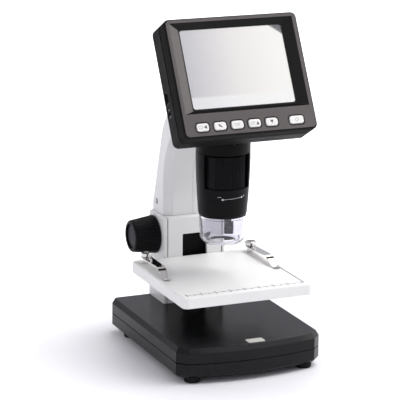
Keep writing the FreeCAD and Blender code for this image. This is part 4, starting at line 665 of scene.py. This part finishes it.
def makeScreenMask():
    # A thin black border on the window, with rounded corners: painted shade where the window meets the
    # bezel.
    mask = {"margin": 1.2, "under": 0.3, "side": 0.4, "top": 0.3, "low": 0.9, "round": 1.6,
            "outerRound": 0.3, "sink": 0.05, "rise": 0.03}
    points = [vertex.co for vertex in nodes["display_window"].data.vertices]
    middle = faceMiddle("display_window")
    half, high = [max((point - middle).dot(axis) for point in points) / mm - mask["margin"]
                  for axis in (faceAcross, faceUp)]
    under = mask["under"]
    inner = roundedOutline(-half + mask["side"], half - mask["side"], -high + mask["low"],
                           high - mask["top"], mask["round"])
    outer = roundedOutline(-half - under, half + under, -high - under, high + under, mask["outerRound"])
    mesh = bmesh.new()
    frameRing(mesh, inner, outer, facePlace(middle), -mask["sink"], mask["rise"])
    # Painted shade: the dark gap round the window is drawn as a black border.
    black = plastic("windowGapPaintedShade", (0.006, 0.006, 0.006), rough=0.4, grain=1800, depth=0.03, vary=0.1,
                    shine=0.15)
    addPiece("screen_mask", mesh, black, "screen")


def makeKeyRings():
    # Painted shade in the gap round each key's opening in the face.
    ring = {"cap": 0.5, "gap": 0.55, "wide": 0.4, "round": 2.1, "sink": 0.3, "rise": 0.02}
    mesh = bmesh.new()
    for key in ("left", "flip", "ok", "menu", "down", "power"):
        points = [vertex.co for vertex in nodes["button_" + key].data.vertices]
        out = max(point.dot(faceOut) for point in points)
        cap = [point for point in points if point.dot(faceOut) > out - ring["cap"] * mm]
        middle = faceMiddle("button_" + key)
        half, high = [max((point - middle).dot(axis) for point in cap) / mm + ring["gap"]
                      for axis in (faceAcross, faceUp)]
        wide = ring["wide"]
        inner = roundedOutline(-half, half, -high, high, ring["round"])
        outer = roundedOutline(-half - wide, half + wide, -high - wide, high + wide, ring["round"] + wide)
        face = middle + faceOut * (faceTop - out)
        frameRing(mesh, inner, outer, facePlace(face), -ring["sink"], ring["rise"])
    # Painted shade: a flat dark ring where the gap round the key lies in shade.
    dark = plastic("keyGapPaintedShade", (0.01, 0.01, 0.01), rough=0.5, grain=1800, depth=0.05, vary=0.1,
                   shine=0.2)
    addPiece("key_rings", mesh, dark, "screen")


def makeKeyMarks():
    # Marks on the keys, in mm from the middle of each key.
    ink = {"line": 0.28, "arrow": 1.15, "letterHalf": 1.05, "letterO": 0.9, "power": 1.05, "sink": 0.03,
           "rise": 0.02}
    line, arrow, letter = ink["line"], ink["arrow"], ink["letterHalf"]
    box = boxStrokes(-2.7, -0.5, -0.9, 0.9, line)
    left = [(0.5, 0), (2.6, arrow), (2.6, -arrow)]
    upward = [(0.9, -arrow), (3.1, -arrow), (2.0, arrow)]
    downward = [(-1.2, arrow), (0, -arrow), (1.2, arrow)]
    pen = [(-1.3, 1.1), (-0.2, 1.1), (0.2, 0.1), (1.0, 0.1), (1.3, -1.3), (-0.1, -0.4), (-0.7, -0.3)]
    letterO = [[(x - 1.1, y) for x, y in part] for part in arcStrokes(ink["letterO"], 0, 360, line)]
    letterK = [stroke((0.4, -letter), (0.4, letter), line), stroke((0.4, -0.1), (1.6, letter), line),
               stroke((0.8, 0.2), (1.7, -letter), line)]
    menuLines = [stroke((-2.9, y), (0.2, y), line) for y in (-0.8, 0, 0.8)]
    power = arcStrokes(ink["power"], 125, 415, line) + [stroke((0, 0.2), (0, 1.4), line)]
    dark = plastic("keyInkDark", (0.09, 0.09, 0.09), rough=0.5, grain=1800, depth=0.05, vary=0.1)
    pale = plastic("keyInkPale", (0.42, 0.42, 0.42), rough=0.5, grain=1800, depth=0.05, vary=0.1)
    keys = [("left", "box", box, pale), ("left", "arrow", [left], dark), ("flip", "pen", [pen], dark),
            ("ok", "letters", letterO + letterK, pale), ("menu", "lines", menuLines, pale),
            ("menu", "arrow", [upward], dark), ("down", "arrow", [downward], dark),
            ("power", "ring", power, pale)]
    for key, part, outlines, colour in keys:
        place = facePlace(faceMiddle("button_" + key))
        marks("key_" + key + "_" + part, outlines, place, colour, "key_" + key,
              -ink["sink"], ink["rise"])


# Floor and light, in metres

def makeFloor():
    # A floor that bends up into a backdrop.
    size = {"half": 2.5, "front": -1.6, "back": 1.6, "bend": 0.8, "high": 2.5, "steps": 12}
    profile = [(size["front"], 0), (size["back"], 0)]
    for step in range(1, size["steps"] + 1):
        angle = math.pi / 2 * step / size["steps"]
        profile.append((size["back"] + size["bend"] * math.sin(angle), size["bend"] * (1 - math.cos(angle))))
    profile.append((size["back"] + size["bend"], size["high"]))
    data = bpy.data.meshes.new("floor")
    points = [(x, y, z) for x in (-size["half"], size["half"]) for y, z in profile]
    count = len(profile)
    faces = [(index, count + index, count + index + 1, index + 1) for index in range(count - 1)]
    data.from_pydata(points, [], faces)
    data.materials.append(floorPale())
    floor = bpy.data.objects.new("floor", data)
    bpy.context.scene.collection.objects.link(floor)


def shownRays(add):
    # 1 for the camera and for what clear pieces show, 0 for the light that falls on things.
    path = add("ShaderNodeLightPath").outputs
    return combine(add, "MAXIMUM", path["Is Camera Ray"], path["Is Transmission Ray"])


def floorPale():
    # Painted light: a glow seen only by the camera whitens the floor away from a point a little right of and
    # in front of the middle, so the lamps' shadow near the object stays, more to the front right.
    shadow = {"middle": (0.022, -0.02, 0), "edge": 0.085}
    material, shader, add, join = newMaterial("floorPale")
    place = objectPlace(add)
    cloud = noise(add, place, scale=3, detail=3)
    join(ramp(add, cloud, (0.3, (0.85, 0.85, 0.88, 1)), (0.7, (0.87, 0.87, 0.9, 1))), "Base Color")
    join(ramp(add, cloud, (0.3, grey(0.55)), (0.7, grey(0.6))), "Roughness")
    far = add("ShaderNodeVectorMath", {0: place, 1: shadow["middle"]}, operation="DISTANCE").outputs["Value"]
    # Painted light: the floor brightens with distance from that point, and has none within the edge.
    glow = ramp(add, far, (shadow["edge"], grey(0)), (0.2, grey(0.35)), (0.5, grey(0.45)), (1, grey(0.8)))
    join(combine(add, "MULTIPLY", glow, shownRays(add)), "Emission Strength")
    shader.inputs["Emission Color"].default_value = grey(1)
    return material


def areaLight(name, place, size, power, colour):
    aim = Vector((0, 0, 0.1))
    data = bpy.data.lights.new(name, "AREA")
    data.size = size
    data.energy = power
    data.color = colour
    lamp = bpy.data.objects.new(name, data)
    lamp.location = place
    lamp.rotation_euler = (aim - Vector(place)).to_track_quat("-Z", "Y").to_euler()
    bpy.context.scene.collection.objects.link(lamp)


def makeLight():
    lamps = {"keyLight": {"place": (1.3, -0.4, 0.95), "size": 0.7, "power": 7, "colour": (1, 0.985, 0.96)},
             "fillLight": {"place": (-1.4, -0.8, 0.9), "size": 1.2, "power": 3.2, "colour": (0.9, 0.9, 1)},
             "topLight": {"place": (0.5, -0.15, 1.4), "size": 1.0, "power": 14, "colour": (1, 1, 1)},
             "backLight": {"place": (0.55, 1.0, 1.2), "size": 0.6, "power": 3.5, "colour": (1, 0.985, 0.96)},
             "rimLight": {"place": (-1.0, 1.0, 0.7), "size": 0.5, "power": 2.5, "colour": (1, 0.99, 0.95)}}
    for name, lamp in lamps.items():
        areaLight(name, **lamp)
    bpy.context.scene.view_settings.view_transform = "Standard"


def makeRoom():
    # Gloss shows a white backdrop behind and to the right, a soft box in front and above, and a dim room.
    room = {"ambient": 0.52, "shown": 1.06, "colour": (0.95, 0.95, 1, 1), "dim": 0.1,
            "backdrop": (0.85, 0.53, 0), "backdropEdge": (0.05, 0.6),
            "softbox": (0.37, -0.66, 0.66), "softboxEdge": (0.88, 0.97), "softboxPower": 2}
    world = bpy.data.worlds.new("world")
    bpy.context.scene.world = world
    world.use_nodes = True
    tree = world.node_tree
    sky = tree.nodes["Background"].inputs
    add = nodeAdder(tree)
    ahead = add("ShaderNodeTexCoord").outputs["Generated"]
    backdrop = rescale(add, along(add, ahead, room["backdrop"]), room["backdropEdge"], (room["dim"], 1),
                       "SMOOTHSTEP")
    softbox = rescale(add, along(add, ahead, room["softbox"]), room["softboxEdge"],
                      (0, room["softboxPower"]), "SMOOTHSTEP")
    glossy = add("ShaderNodeLightPath").outputs["Is Glossy Ray"]
    strength = mix(add, glossy, room["ambient"], combine(add, "MAXIMUM", backdrop, softbox), "FLOAT")
    tree.links.new(mix(add, shownRays(add), strength, room["shown"], "FLOAT"), sky["Strength"])
    sky["Color"].default_value = room["colour"]


makeCamera()
makeFloor()
makeLight()
makeRoom()
print("camera, floor and light ready")
dressStand()
makePlate()
makeScrewCrosses()
print("base, column and arm ready")
dressStage()
makeStageMarks()
print("stage, drive and clips ready")
dressBarrel()
makeZoomMarks()
makeCollarTrim()
print("barrel ready")
dressScreen()
makeScreenMask()
makeKeyRings()
makeKeyMarks()
print("screen unit ready")
